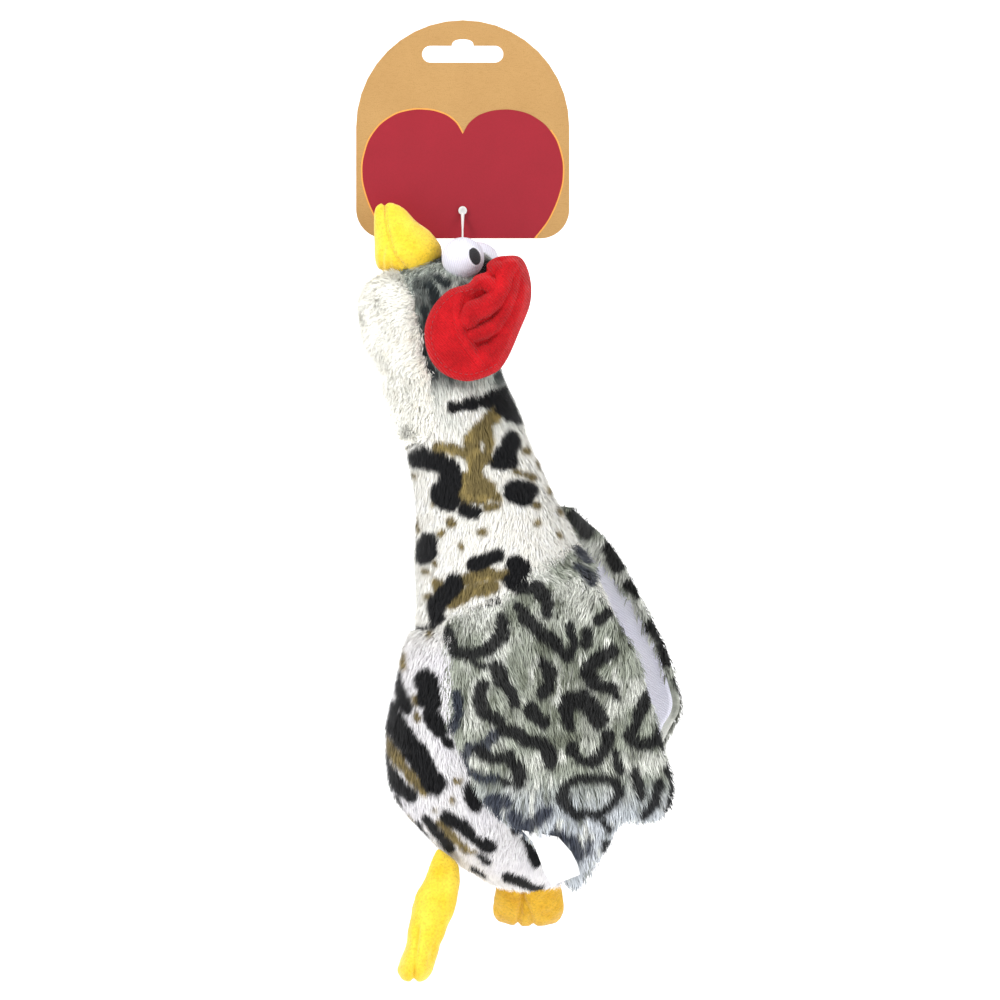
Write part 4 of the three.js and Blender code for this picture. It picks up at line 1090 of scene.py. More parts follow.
def bodyPanels():
    specs = [  # region, rides, node, slot, density, length
        ("head_fur", (90, body["headEnd"]), headMoves, "grey_fur", 6.5, 4.2),
        ("neck_fur", (body["headEnd"], body["neckEnd"]), neckMoves, "cream_fur", 6.0, 4.0),
        ("belly_fur", (body["neckEnd"], -400), "belly", "cream_fur", 5.2, 4.2),
    ]
    for index, (part, region, rides, slotName, density, length) in enumerate(specs):
        for side, word in ((-1, "left"), (1, "right")):
            name = part + "_" + word
            panel = sidePanel(name + "_cloth", side, region)
            p = birdPoints(panel.data)
            hidden = inside(p[:, [0, 2]], wingCover) & (np.abs(p[:, 1]) > 24)
            cover = np.where(hidden & (part == "belly_fur"), 0.22, 1.0)
            if part == "head_fur":
                cover *= np.where(p[:, 2] > 8, 0.3, 1.0)
            long = np.ones(len(p)) * (1 + 0.18 * wander(p, 12, 60 + index))
            long *= 1 - 0.25 * np.exp(-(p[:, 1] / 2.5) ** 2)
            lean = np.stack([wander(p, 30, 66) * 0.35, np.zeros(len(p)), -np.ones(len(p))], axis=1)
            combed(panel, cover, long, wave=lean)
            dyeing = (lambda points, side=side: dyeBody(points, side))
            pile = growPile(panel, name + "_pile", "short", 10 + index * 2 + (side > 0), dyeing, density, length, 0.33,
                            contrast=0.08 if part != "head_fur" else 0.22)
            backCloth(panel, dyeing(p), body["backing"])
            piece(panel, name, rides, "backing")
            piece(pile, name, rides)

    def keepThroat(c):
        return (c[:, 0] < throatAt(c[:, 2])) & (c[:, 2] > -74)

    panel = skinPanel(skin, "throat_cloth", keepThroat, [((0, 0, body["headEnd"]), (0, 0, 1))])
    p = birdPoints(panel.data)
    lumps = wander(p, 5.5, 70) * 0.7 + wander(p, 2.8, 71) * 0.4
    setVertices(panel.data, vertexArray(panel.data) + normalArray(panel.data) * (lumps * 0.8 * mm)[:, None])
    lean = np.stack([-0.5 + wander(p, 9, 72) * 1.2, wander(p, 9, 73) * 0.9, -0.7 + wander(p, 9, 74) * 1.0], axis=1)
    combed(panel, np.ones(len(p)), 1 + 0.3 * wander(p, 5, 75), wave=lean)
    pile = growPile(panel, "throat_pile", "curl", 31, dyeThroat, 8.5, 2.6, 0.34, unevenness=0.4, swirl=1.3,
                    swirlSize=230.0, lock=1.1, lockSize=700.0, ruffle=0.36, contrast=0.03, material="curls",
                    softNormal=0.1)
    backCloth(panel, dyeThroat(p), body["backing"])
    piece(panel, "throat_panel", headMoves, "backing")
    piece(pile, "throat_panel", headMoves)


bodyPanels()
print("body panels sewn")


# the wings

def wingComb(p, seed):
    mid = np.array([40.0, -168.0])
    tilt = (p[:, 0] - mid[0]) / 30
    x = -0.35 * np.tanh(tilt * 1.2) * ease(p[:, 2], -215, -150) + wander(p, 20, seed) * 0.55
    x += 0.45 * ease(p[:, 0], 56, 76)
    return np.stack([x, np.zeros(len(p)), -1.15 + wander(p, 17, seed + 1) * 0.5], axis=1)


def buildWing(word, side, outline, sewn, seed, body_, fringe):
    shell, flat, faces, share, inner, around = makeWing(word + "_wing_cloth", side, outline, sewn, seed)
    mesh = shell.data
    p = birdPoints(mesh)
    n = normalArray(mesh)
    out = n[:, 1] * side
    rimGap = lineDistance(p[:, [0, 2]], np.vstack([around, around[:1]]))
    onSewn = 1 - ease(lineDistance(p[:, [0, 2]], sewn), 1.5, 6)
    cover = ease(out, -0.25, 0.25)
    rim = ease(3.2 - rimGap, 0, 2.2) * 0.8
    if fringe is not None:
        rim *= ease(p[:, 2], -170, -156)
    cover = np.maximum(cover, rim)
    if fringe is not None:
        strip = lineDistance(p[:, [0, 2]], fringe)
        wide = np.interp(p[:, 2], *wing["turnOver"])
        cover = np.maximum(cover, ease(wide - 0.8 - strip, -0.6, 0.6) * ease(-out, 0.2, 0.5))
    long = (1 + 0.16 * wander(p, 14, seed + 5)) * (1 - 0.35 * onSewn) * (1 - 0.3 * ease(4 - rimGap, 0, 4))
    combed(shell, cover, long, wave=wingComb(p, seed + 7))
    dyeing = (lambda points: dyeWing(points, side, farWingEdgePrint if side > 0 else ()))
    density, length = (4.0, 5.6) if side < 0 else (3.4, 4.6)
    pile = growPile(shell, word + "_wing_pile", "long", seed + 9, dyeing, density, length, 0.38, unevenness=0.4,
                    swirl=0.8, swirlSize=55.0, lock=0.6, lockSize=300.0, ruffle=0.24, contrast=0.24, material="wingFur")
    paint(mesh, dyeing(p))
    flatUV(shell)
    node = word + "_wing_fur"
    piece(shell, node, body_, "backing")
    piece(pile, node, body_)
    keep = (share < 0.965)
    if fringe is not None:
        strip = lineDistance(flat, fringe)
        wide = np.interp(flat[:, 1], *wing["turnOver"])
        keep &= strip > wide
    lining = wingLining(word + "_wing_lining_cloth", side, flat, faces, inner, keep)
    flatUV(lining)
    piece(lining, word + "_wing_lining", body_, "lining")


leftSewn = np.array([(-6.9, -176), (-6.5, -156), (-5.7, -142.5), *shoulderLine[1:-1], (46.5, -113.5)])
rightSewn = np.array([(-6, -172), (-6, -150), (-2, -128), (8, -113), (22, -101), (38, -97.5)])
farEdge = np.array([(40, -98), (50.4, -101.5), (61.7, -113.1), (71.5, -130.8), (82.1, -151.6), (88, -170.4),
                    (88.6, -176)])
buildWing("left", -1, wing["leftOutline"], leftSewn, 110, "left_wing", None)
buildWing("right", 1, wing["rightOutline"], rightSewn, 130, "right_wing", farEdge)
print("wings sewn")


# small sewn parts

def sideways(line, points):  # signed distance from a line, and the plain one
    line = np.asarray(line, float)
    best, sign = np.full(len(points), 1e9), np.ones(len(points))
    for a, b in zip(line[:-1], line[1:]):
        d = b - a
        t = np.clip((points - a) @ d / (d @ d), 0, 1)
        gap = points - a - t[:, None] * d
        far = np.linalg.norm(gap, axis=1)
        cross = d[0] * gap[:, 1] - d[1] * gap[:, 0]
        nearer = far < best
        best = np.where(nearer, far, best)
        sign = np.where(nearer, np.sign(cross), sign)
    return best * sign, best


def makeStitch(name, length, thick):  # one thread stitch, lying along X
    points, sides, rings = [], 7, 9
    for ring in range(rings):
        t = ring / (rings - 1)
        swell = math.sin(math.pi * (0.08 + 0.84 * t)) ** 0.6
        for k in range(sides):
            a = 2 * math.pi * k / sides
            points.append(((t - 0.5) * length, math.cos(a) * thick * swell, math.sin(a) * thick * swell
                           + math.sin(math.pi * t) * thick * 0.7 - thick * 0.3))
    return outwards(meshFrom(name, points, ringFaces(rings, sides, capped=True), origin=0))


def makeStitchTree():
    tree, start, end = newTree("runningStitch", [
        ("Stitch", "Object", None), ("Spacing", "Float", 0.002), ("Material", "Material", None)])
    given = start.outputs
    curve = addNode(tree, "GeometryNodeMeshToCurve", {"Mesh": given["Geometry"]}).outputs["Curve"]
    evenly = addNode(tree, "GeometryNodeResampleCurve", {"Curve": curve, "Length": given["Spacing"]}, mode="LENGTH")
    along = addNode(tree, "GeometryNodeInputTangent").outputs[0]
    stand = turnTo(tree, attributeNode(tree, "up", "FLOAT_VECTOR"), "Z")
    lying = turnTo(tree, along, "X", pivot_axis="Z", rotation=stand)
    plantOn(tree, end, evenly.outputs["Curve"], given["Stitch"], lying, given["Material"])
    return tree


stitchTree = makeStitchTree()
stitches = dict(short=makeStitch("shortStitch", 1.35, 0.17), fine=makeStitch("fineStitch", 1.0, 0.13))


def sewAlong(name, line, onto, direction, stitch, spacing, material, lift=0.1):
    tree = BVHTree.FromObject(onto, bpy.context.evaluated_depsgraph_get())
    line = np.asarray(line, float)
    lengths = np.concatenate([[0], np.cumsum(np.linalg.norm(np.diff(line, axis=0), axis=1))])
    steps = np.linspace(0, lengths[-1], max(int(lengths[-1] / 0.6), 4))
    fine = np.stack([np.interp(steps, lengths, line[:, k]) for k in range(3)], axis=1)
    points, ups = [], []
    for p in fine:
        start_ = birdAt + p * mm - np.array(direction) * 0.06
        hit, normal, _, _ = tree.ray_cast(Vector(start_), Vector(direction))
        if hit is None:
            continue
        if normal.dot(Vector(direction)) > 0:
            normal = -normal
        points.append((np.array(hit) - birdAt) / mm + np.array(normal) * lift)
        ups.append(np.array(normal))
    seam = meshFrom(name, points, [], [(i, i + 1) for i in range(len(points) - 1)])
    setAttribute(seam.data, "up", "FLOAT_VECTOR", np.array(ups))
    useTree(seam, stitchTree, Stitch=stitches[stitch], Spacing=spacing * mm, Material=materials[material])
    settle(seam)
    seam.data.shade_smooth()
    return seam


# beak: two stuffed fleece halves that meet at the mouth seam
beak = dict(
    outline=[(-34.9, 8), (-34.9, 15), (-34.6, 19.6), (-33, 21.7), (-29.6, 22.2), (-26, 21.6), (-22.5, 19.5),
             (-18, 15), (-15, 12.5), (-11.8, 9.5), (-8.9, 5.5), (-8, 2), (-8.8, -2), (-12, -5.5), (-17, -8),
             (-23, -10), (-26, -8), (-30, -6.5), (-33.5, -4), (-34.8, 1)],
    mouth=[(-30.8, 26), (-30.5, 20), (-30.2, 16), (-29.6, 11), (-28.2, 5), (-26, 0), (-22.4, -4.6), (-19, -8.2),
           (-18, -12)],
    creases=[((-30.2, 6), (-31.6, 0), (-31.5, -5)), ((-28.4, 2), (-28.6, -3.4), (-26.8, -7.6))],
    depth=11.2, voxel=1.0, pressure=4.5, limit=0.5,
)


def makeBeak():
    around = rounded(beak["outline"], 150)
    flat, faces, share = discMesh(around, np.array([-22.0, 4.0]), 22)
    x, z = flat[:, 0], flat[:, 1]
    half = beak["depth"] * (1 - share ** 2.3) ** 0.62 * np.interp(z, [-10, 0, 10, 21.8], [0.95, 1.0, 0.8, 0.42])
    front = np.stack([x, -half, z], axis=1)
    rim = np.arange(len(flat) - len(around), len(flat))
    whole = closedSheet("beak", front, front * np.array([1, -1, 1]), faces, rim)
    remesh(whole, beak["voxel"])
    relax(whole, 2)
    p = birdPoints(whole.data)
    far = lineDistance(p[:, [0, 2]], beak["mouth"])
    puff(whole, far < 0.9, beak["pressure"], beak["limit"], 14)
    refine(whole)
    p, n = birdPoints(whole.data), normalArray(whole.data)
    flatP = p[:, [0, 2]]
    signed, far = sideways(beak["mouth"], flatP)
    groove = 1.1 * np.exp(-(far / 0.9) ** 2)
    for crease in beak["creases"]:
        _, gap = sideways(crease, flatP)
        groove += 0.7 * np.exp(-(gap / 1.0) ** 2)
    p += n * (wander(p, 6, 201) * 0.35 - groove)[:, None]
    setVertices(whole.data, p * mm + birdAt)
    for word, above in (("upper", True), ("lower", False)):
        def keep(c):
            signed_, _ = sideways(beak["mouth"], c[:, [0, 2]])
            return (signed_ > 0) == above
        part = skinPanel(whole, word + "_beak_cloth", keep, [])
        flatUV(part)
        thicken(part, 1.0)
        piece(part, word + "_beak", "head", "yellow")
    for side, y in (("left", 1.0), ("right", -1.0)):
        line = [(q[0] + 0.9, 0, q[1]) for q in beak["mouth"][1:-1]]
        seam = sewAlong("beak_stitches_" + side, line, whole, (0, y, 0), "fine", 2.2, "goldThread", 0.02)
        piece(seam, None, "head")
    bpy.data.objects.remove(whole)


makeBeak()
print("beak sewn")


# eyes: stuffed tricot balls with a satin-stitched pupil
eyes = dict(
    left=dict(centre=(0.2, -12.2, -0.6), radius=8.3, gaze=(0.60, -0.79, 0.085), tilt=24),
    right=dict(centre=(6.1, 9.8, -1.8), radius=8.3, gaze=(0.25, 0.96, 0.08), tilt=-24),
)
pupil = dict(wide=2.8, high=3.6, rise=0.35, threads=26)


def makeEye(word):
    spec = eyes[word]
    centre, radius = np.array(spec["centre"]), spec["radius"]
    gaze = np.array(spec["gaze"]) / np.linalg.norm(spec["gaze"])
    bm = bmesh.new()
    bmesh.ops.create_icosphere(bm, subdivisions=5, radius=1)
    unit = np.array([v.co[:] for v in bm.verts])
    lumps = 1 + 0.018 * wander(unit * 8, 5, 210) + 0.008 * wander(unit * 8, 2, 211)
    gathered = np.exp(-((unit @ -gaze - 1) / 0.12) ** 2) * 0.06
    for v, p in zip(bm.verts, centre + unit * radius * (lumps - gathered)[:, None]):
        v.co = birdAt + p * mm
    mesh = bpy.data.meshes.new(word + "_eye_ball")
    bm.to_mesh(mesh)
    bm.free()
    ball = outwards(addObject(mesh.name, mesh))
    flatUV(ball)
    piece(ball, word + "_eye", "head", "eyeWhite")
    turn = math.radians(spec["tilt"])
    across = np.cross((0, 0, 1), gaze)
    across /= np.linalg.norm(across)
    up = np.cross(gaze, across)
    if across[0] < 0:
        across = -across
    long = up * math.cos(turn) - across * math.sin(turn)
    short = across * math.cos(turn) + up * math.sin(turn)
    rows, columns = pupil["threads"] * 6, 28
    points = []
    for i in range(rows + 1):
        v = i / rows * 2 - 1
        for j in range(columns + 1):
            u = j / columns * 2 - 1
            ragged = 1 + 0.035 * math.sin(i * 2.3) * abs(u)
            edge = math.sqrt(max(1 - v * v, 0)) * ragged
            a = short * (u * edge * pupil["wide"]) + long * (v * pupil["high"])
            lie = math.sqrt(max(radius * radius - a @ a, 0))
            body_ = max(1 - u ** 6, 0) * min(1, (1 - abs(v)) * 9)
            thread = abs(math.sin(i / 6 * math.pi + u * 0.7))
            points.append(centre + a + gaze * lie + gaze * (-0.12 + pupil["rise"] * body_ * (0.72 + 0.28 * thread)))
    patch = outwards(meshFrom(word + "_pupil_embroidery", points, gridFaces(rows, columns)))
    n = normalArray(patch.data)
    if (n @ gaze).mean() < 0:
        patch.data.flip_normals()
    flatUV(patch)
    thicken(patch, 0.2)
    piece(patch, word + "_pupil", "head", "black")
    ring = []
    for k in range(73):
        a = 2 * math.pi * k / 72
        off = short * (math.cos(a) * (pupil["wide"] + 0.3)) + long * (math.sin(a) * (pupil["high"] + 0.3))
        ring.append(centre + off + gaze * math.sqrt(radius * radius - off @ off))
    rim = meshFrom(word + "_pupil_rim", ring, [], [(k, (k + 1) % 72) for k in range(72)])
    setAttribute(rim.data, "up", "FLOAT_VECTOR", np.tile(gaze, (len(rim.data.vertices), 1)))
    useTree(rim, stitchTree, Stitch=stitches["fine"], Spacing=0.8 * mm, Material=materials["satin"])
    settle(rim)
    piece(rim, None, "head")


for word in eyes:
    makeEye(word)
print("eyes sewn")


# comb: two red fleece layers, folded over and topstitched round the edge
comb = dict(
    outline=[(2.2, -10.8), (5.2, -7.6), (9.4, -6.0), (9.6, -3.2), (12.4, -0.8), (16.3, 0.2), (22.1, 0.0),
             (25.2, -4), (26.9, -11.2), (26.3, -19), (22.6, -28.5), (17.4, -40.2), (12.3, -45.7), (1.8, -48.8),
             (-7.6, -45.7), (-13.2, -38.5), (-14.6, -28.5),
             (-11.5, -20), (-5.3, -13.4)],
    rows=[(10, -34, 29, 21), (-3, -42, 29.5, 23.5), (-16, -46, 29.5, 25.5), (-27, -46, 29, 26.5),
          (-42, -42, 27.5, 27),
          (-55, -38, 27, 27.5)],
    folds=[  # a fold's crest, its half width and height
        (((1.5, -12.6), (4.5, -10.2), (8, -9.6), (11, -11.2), (13.2, -13.4)), 3.6, 3.0),
        (((11.2, -4.4), (14, -5), (16.2, -7.4)), 3.4, 3.0),
        (((20.3, -2.6), (17.4, -7), (16.4, -12), (13.2, -17), (8.4, -20), (3.6, -21.6), (2.2, -25)), 4.4, 3.9),
        (((22.2, -4.5), (20.4, -10), (19, -16), (16.8, -22), (13.2, -27), (8.6, -29.4), (4.4, -30.6)), 3.4, 3.0),
        (((25, -9), (23.6, -17), (20.4, -25.5), (16.4, -33), (12.5, -37.5), (9.5, -38.6)), 5.0, 2.5),
        (((18.5, -32), (15.6, -38), (12.4, -43.4)), 3.6, 1.7),
        (((-0.8, -13.6), (-1.8, -18), (-2.0, -23), (-1.0, -28), (1.0, -33), (3.8, -37.5), (7.0, -42)), 2.7, 2.6),
        (((-5, -16), (-8.6, -26), (-8.2, -35), (-2.5, -42), (5, -44.6)), 9.5, 2.0),
    ],
    middle=(8.5, -24.0), layer=2.0, gap=0.3, relief=1.35, topstitch=2.7, spacing=2.1, foldAllowance=1.1,
)


def combLayer(name, low, thickness, folded):
    around = rounded(comb["outline"], 260)
    flat, faces, share = discMesh(around, np.array(comb["middle"]), 62)
    x, z = flat[:, 0], flat[:, 1]
    p = np.stack([x, np.zeros(len(x)), z], axis=1)
    edgeGap = lineDistance(flat, np.vstack([around, around[:1]]))
    round_ = np.sqrt(np.clip(1 - (1 - np.clip(edgeGap / 1.3, 0, 1)) ** 2, 0, 1))
    base = sideDepth(comb["rows"], x, z)
    top = base + low + thickness * (0.25 + 0.75 * round_)
    bottom = base + low + thickness * 0.25 * (1 - round_)
    if folded:
        height = wander(p, 8, 221) * 0.35 + wander(p, 3.2, 222) * 0.14
        height -= 0.55 * np.exp(-((edgeGap - comb["topstitch"]) / 0.75) ** 2) * ease(-z, 12, 22) * ease(12 - x, 0, 8)
        crest = np.full(len(x), 0.3)
        for line, half, rise in comb["folds"]:
            _, far = sideways(line, flat)
            bow = comb["relief"] * rise * np.sqrt(np.clip(1 - (far / half) ** 2, 0, 1)) ** 1.3
            crest = np.logaddexp(crest * 11, bow * 11) / 11
        height += crest
        top = np.maximum(top + (height - 0.4) * ease(edgeGap, 0, 3.0), bottom + 0.5)
    front = np.stack([x, -np.maximum(top, 1.4), z], axis=1)
    back = np.stack([x, -np.maximum(bottom, 1.2), z], axis=1)
    return closedSheet(name, front, back, faces, np.arange(len(flat) - len(around), len(flat))), around


def makeComb():
    inner, _ = combLayer("comb_inner_cloth", 0.0, comb["layer"], False)
    outer, around = combLayer("comb_outer_cloth", comb["layer"] + comb["gap"], comb["layer"] + 0.4, True)
    for made, node in ((inner, "comb_inner_layer"), (outer, "comb_outer_layer")):
        flatUV(made)
        piece(made, node, "comb", "red")
    inward = drawnIn(around, comb["middle"], comb["topstitch"])
    sewn = inward[(inward[:, 0] < 13) & (inward[:, 1] < -13)]
    order = np.argsort(np.unwrap(np.arctan2(sewn[:, 1] + 26, sewn[:, 0] - 14) % (2 * math.pi)))
    line = [(q[0], 0, q[1]) for q in sewn[order]]
    seam = sewAlong("comb_topstitch", line, outer, (0, 1, 0), "short", comb["spacing"], "redThread", 0.03)
    piece(seam, None, "comb")


makeComb()
print("comb sewn")


# legs: fleece halves round their stuffing
legs = dict(
    left=dict(rows=[(-230.8, -10.8, -8.4, 2.4), (-233.5, -12, -4.6, 4), (-236.5, -13, -0.9, 5.2),
                    (-241, -14.8, -0.3, 7),
                    (-250, -19.3, -1.4, 8.5), (-256, -20.8, -2.8, 9),
                    (-262, -21.8, -5, 9.5), (-268.5, -22.6, -7.8, 11), (-275, -25.2, -9.8, 12),
                    (-280, -26, -11.8, 10), (-283.4, -23.5, -14.5, 6)],
              place=(0, -13, 0), tilt=0, slot="yellow_fleece", material="yellow",
              creases=[((-17.4, -262), (-18.4, -272), (-19.2, -288)),
                       ((-5.3, -236.5), (-7.5, -250), (-9.2, -264), (-13, -276))],
              deep=(1.5, 0.4), moves=("belly", "left_leg", (-230, -241))),
    right=dict(rows=[(-2, -6.5, 6.5, 3.6), (-7, -9.4, 9.4, 4.8), (-13, -12, 12.5, 5.8), (-22, -14, 14.6, 6.8),
                     (-29, -15, 15.4, 6.8), (-35, -15.4, 15, 6.2),
                     (-40, -13.6, 12.6, 4.2)],
               # the right leg takes the darker yellow fleece: painted shade under the body
               place=(26, 20, -232), tilt=40, slot="mustard_fleece", material="yellowPaintedShade",
               creases=[((-2.6, -20), (-3.6, -30), (-5.0, -48)), ((-2.6, -20), (0.5, -30), (3.4, -48))],
               deep=(1.6, 1.2),
               moves=("belly", "right_leg", ((26, 21.3, -233.5), (26, 28.4, -242)))),
)


legCloth, legFill = 1.3, 2.3  # the fleece's thickness, and how far in its filling starts


def makeLeg(word, seed):
    spec = legs[word]
    whole = remesh(makeForm(word + "Leg", spec["rows"], 0.7, 40, 1.6), 1.4)
    relax(whole, 2)
    p = birdPoints(whole.data)
    pinned = (np.abs(p[:, 1]) < 0.9) | (p[:, 2] > spec["rows"][0][0] - 2)
    puff(whole, pinned, 4.0, 0.8, 14)
    refine(whole)
    p, n = birdPoints(whole.data), normalArray(whole.data)
    flat = p[:, [0, 2]]
    height = wander(p, 9, seed) * 0.5 + wander(p, 3.5, seed + 1) * 0.2
    height -= 0.6 * np.exp(-(p[:, 1] / 0.8) ** 2)
    for crease, deep in zip(spec["creases"], spec["deep"]):
        _, far = sideways(crease, flat)
        height -= deep * np.exp(-(far / 1.0) ** 2)
    p += n * height[:, None]
    setVertices(whole.data, p * mm + birdAt)
    turn = math.radians(spec["tilt"])
    place = np.array(spec["place"], float)

    def placed(obj):
        q = birdPoints(obj.data)
        y, z = q[:, 1].copy(), q[:, 2].copy()
        q[:, 1] = y * math.cos(turn) - z * math.sin(turn)
        q[:, 2] = y * math.sin(turn) + z * math.cos(turn)
        setVertices(obj.data, (q + place) * mm + birdAt)
        return obj

    core = addObject(word + "_leg_filling", whole.data.copy())
    q, m = birdPoints(core.data), normalArray(core.data)
    setVertices(core.data, (q - m * legFill) * mm + birdAt)
    placed(core)
    flatUV(core)
    outer = -1 if word == "left" else 1
    for part, side in (("outside", outer), ("inside", -outer)):
        half = skinPanel(whole, word + "_leg_" + part + "_cloth", lambda c, side=side: c[:, 1] * side > 0,
                         [((0, 0, 0), (0, 1, 0))])
        placed(half)
        flatUV(half)
        thicken(half, legCloth)
        piece(half, word + "_leg_" + part, spec["moves"], spec["material"])
    piece(core, word + "_leg_stuffing", spec["moves"], "fill")
    bpy.data.objects.remove(whole)


makeLeg("left", 230)
makeLeg("right", 240)
print("legs sewn")


# stuffing: loose fibre inside each part
def stuff(node, rides, seed, inset=0.4):
    made = copyOfNode(node, node + "_fibre")
    remesh(made, 2.2)
    relax(made, 3)
    p, n = birdPoints(made.data), normalArray(made.data)
    setVertices(made.data, (p + n * (wander(p, 7, seed) * 0.35 - inset)[:, None]) * mm + birdAt)
    flatUV(made)
    piece(made, node, rides, "fill")


stuff("head_stuffing", headMoves, 301)
stuff("neck_stuffing", neckMoves, 302)
stuff("belly_stuffing_left", "belly", 303, 0.9)
stuff("belly_stuffing_right", "belly", 304, 1.7)
print("stuffed")


# label: a folded satin strip with nothing on it
label = dict(
    leftEdge=[(23.0, -222.8), (27.2, -227.1), (29.6, -233), (31.9, -239.3), (34.6, -244.2)],
    rightEdge=[(37.2, -225.4), (42.3, -231.2), (44.6, -235.6), (45.4, -238.4), (45.6, -240)],
    thickness=0.16,
)


def makeLabel():
    low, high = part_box("care_label")
    y = ((low[1] + high[1]) / 2 - birdAt[1]) / mm
    columns, rows = 40, 26
    points, one = [], (rows + 1) * (columns + 1)
    for layer in range(2):
        for i in range(rows + 1):
            v = i / rows
            for j in range(columns + 1):
                u = j / columns
                ends = [np.array([np.interp(u, np.linspace(0, 1, 5), np.array(edge)[:, k]) for k in (0, 1)])
                        for edge in (label["leftEdge"], label["rightEdge"])]
                x, z = ends[0] * (1 - v) + ends[1] * v
                bow = 0.9 * math.sin(math.pi * u) + 0.5 * math.sin(2.6 * u + 1.8 * v) + 0.5 * v * u
                apart = layer * (0.35 + 0.9 * math.sin(math.pi * u) * (0.6 + 0.4 * v))
                points.append((x, y + 0.6 - bow - (layer - 0.5) * 0.1 - apart, z))
    faces = gridFaces(rows, columns) + gridFaces(rows, columns, one)
    for i in range(rows):  # the fold at the free end
        a = i * (columns + 1) + columns
        faces.append((a, a + columns + 1, a + columns + 1 + one, a + one))
    strip = outwards(meshFrom("care_label_tape", points, faces))
    settle(thicken(strip, label["thickness"], 0))
    flatUV(strip)
    hinge = (jointAt("label_flip") - birdAt) / mm
    across = np.array((math.cos(math.radians(22)), 0, -math.sin(math.radians(22))))
    piece(strip, "care_label", ("left_wing", "label", (hinge, hinge + across * 7)), "satin")


makeLabel()


# card: kraft board with a plain printed heart
heart = dict(
    half=[(0, -31.4), (2.2, -27.2), (6, -24.0), (11.5, -22.1), (18.5, -21.6), (26, -23.2), (32.5, -27.4),
          (37.2, -33.8), (39.6, -42.6), (39.4, -50.5), (37.0, -58.5), (33.4, -66), (28, -72.6), (24, -77.2)],
    line=0.55, hole=1.35, bottom=-72.45,
)


def printOnCard(name, grow, front, material):
    half = np.array(heart["half"])
    steps = np.linspace(0, len(half) - 1, 90)
    curve = np.stack([np.interp(steps, range(len(half)), half[:, k]) for k in (0, 1)], axis=1)
    for _ in range(6):
        curve[1:-1] = (curve[:-2] + curve[1:-1] * 2 + curve[2:]) / 4
    step = np.gradient(curve, axis=0)
    out = np.stack([-step[:, 1], step[:, 0]], axis=1) / np.linalg.norm(step, axis=1)[:, None]
    curve = curve + out * grow
    curve = curve[curve[:, 1] > heart["bottom"]]
    curve[:, 0] = np.maximum(curve[:, 0], 0)
    corners = [[curve[-1, 0], heart["bottom"]], [-curve[-1, 0], heart["bottom"]]]
    around = np.vstack([curve, corners, (curve * (-1, 1))[::-1][:-1]])
    bm = bmesh.new()
    loop = [bm.verts.new((p[0] * mm, front * mm, p[1] * mm)) for p in around]
    ring = [bm.verts.new((math.cos(a) * heart["hole"] * mm, front * mm, (math.sin(a) * heart["hole"] - 61.6) * mm))
            for a in np.linspace(0, 2 * math.pi, 32, endpoint=False)]
    edges = [bm.edges.new((loop[i], loop[(i + 1) % len(loop)])) for i in range(len(loop))]
    edges += [bm.edges.new((ring[i], ring[(i + 1) % 32])) for i in range(32)]
    bmesh.ops.triangle_fill(bm, use_beauty=True, edges=edges)
    mesh = bpy.data.meshes.new(name)
    bm.to_mesh(mesh)
    bm.free()
    made = outwards(addObject(name, mesh))
    if made.data.polygons[0].normal[1] > 0:
        made.data.flip_normals()
    made.data.shade_flat()
    flatUV(made)
    thicken(made, 0.04, 1)
    return piece(made, None, "card", material)


def dressCard():
    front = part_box("hang_card")[0][1] / mm
    for node, material in (("hang_card", "card"), ("tag_pin", "nylon"), ("squeaker_cap", "squeaker"),
                           ("squeaker_base", "squeaker"), ("squeaker_reed", "squeaker")):
        mesh = frame["nodes"][node].data
        mesh.materials.clear()
        mesh.materials.append(materials[material])
    printOnCard("heart_outline", heart["line"], front - 0.01, "heartLine")
    printOnCard("heart_print", 0, front - 0.06, "heart")


dressCard()
print("label and card done")


# stage, light and camera
scene.view_settings.view_transform = "Standard"
studio = dict(  # in metres and watts
    lamps=[("key", (-1.0, -0.95, 0.85), 0.55, 21), ("fill", (1.1, -1.2, 0.0), 0.8, 11),
           ("top", (0.1, -0.25, 1.1), 0.7, 5)],
    lit=(0.01, 0, -0.18), paperGlow=0.25, sky=0.4,
    camera=(0.0147, -3.6164, -0.1756), seen=(0.0147, 0, -0.1756), lens=330.5,
)


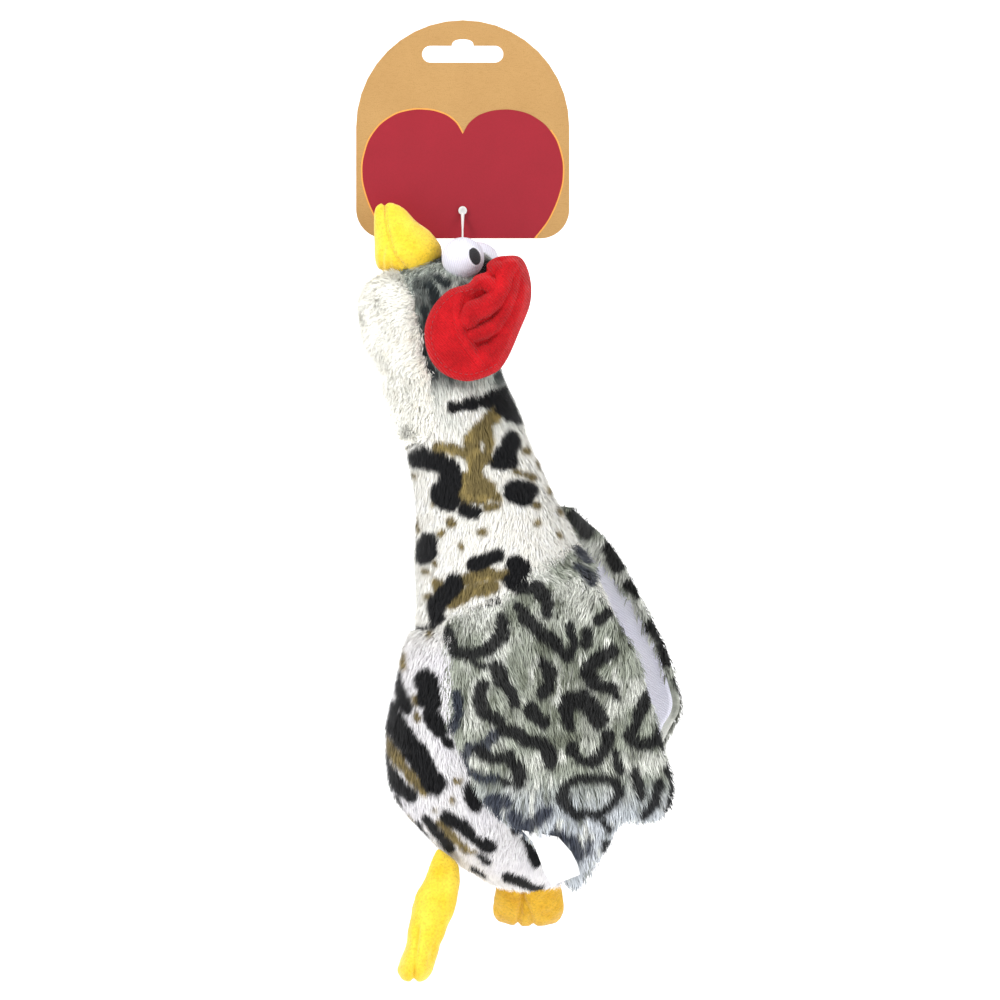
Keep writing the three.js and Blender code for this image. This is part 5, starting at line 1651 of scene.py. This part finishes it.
def lookAt(obj, place, target):
    obj.location = place
    obj.rotation_euler = (Vector(target) - Vector(place)).to_track_quat("-Z", "Y").to_euler()


def makeStage():
    floor = [(-1500, -2600, -400), (1500, -2600, -400), (1500, 900, -400), (-1500, 900, -400)]
    wall = [(-3500, 900, -2400), (3500, 900, -2400), (3500, 900, 2600), (-3500, 900, 2600)]
    paper, tree, shader = newMaterial("studioPaper", 1.0, Specular_IOR_Level=0.0)
    shader.inputs["Base Color"].default_value = (0.96, 0.96, 0.96, 1)
    shader.inputs["Emission Color"].default_value = (1, 1, 1, 1)
    shader.inputs["Emission Strength"].default_value = studio["paperGlow"]
    # seen from behind, the paper is clear
    back = addNode(tree, "ShaderNodeNewGeometry").outputs["Backfacing"]
    clear = addNode(tree, "ShaderNodeBsdfTransparent").outputs[0]
    either = addNode(tree, "ShaderNodeMixShader", {0: back, 1: shader.outputs[0], 2: clear})
    tree.links.new(either.outputs[0], tree.nodes["Material Output"].inputs["Surface"])
    for name, corners in (("studioFloor", floor), ("studioBackdrop", wall)):
        made = meshFrom(name, corners, [(0, 1, 2, 3)], origin=0)
        made.data.materials.append(paper)
    world = bpy.data.worlds.new("studio")
    world.use_nodes = True
    world.node_tree.nodes["Background"].inputs["Color"].default_value = (1, 1, 1, 1)
    world.node_tree.nodes["Background"].inputs["Strength"].default_value = studio["sky"]
    scene.world = world
    for name, place, size, power in studio["lamps"]:
        lamp = bpy.data.lights.new(name, "AREA")
        lamp.size, lamp.energy = size, power
        holder = bpy.data.objects.new(name, lamp)
        scene.collection.objects.link(holder)
        lookAt(holder, place, studio["lit"])


def makeCamera():
    lens = bpy.data.cameras.new("camera")
    lens.sensor_width, lens.lens = 36, studio["lens"]
    lens.clip_start, lens.clip_end = 0.05, 20
    camera = bpy.data.objects.new("camera", lens)
    scene.collection.objects.link(camera)
    lookAt(camera, studio["camera"], studio["seen"])
    scene.camera = camera


makeStage()
makeCamera()
for helper in [skin, *blades.values(), *stitches.values()]:
    bpy.data.objects.remove(helper)
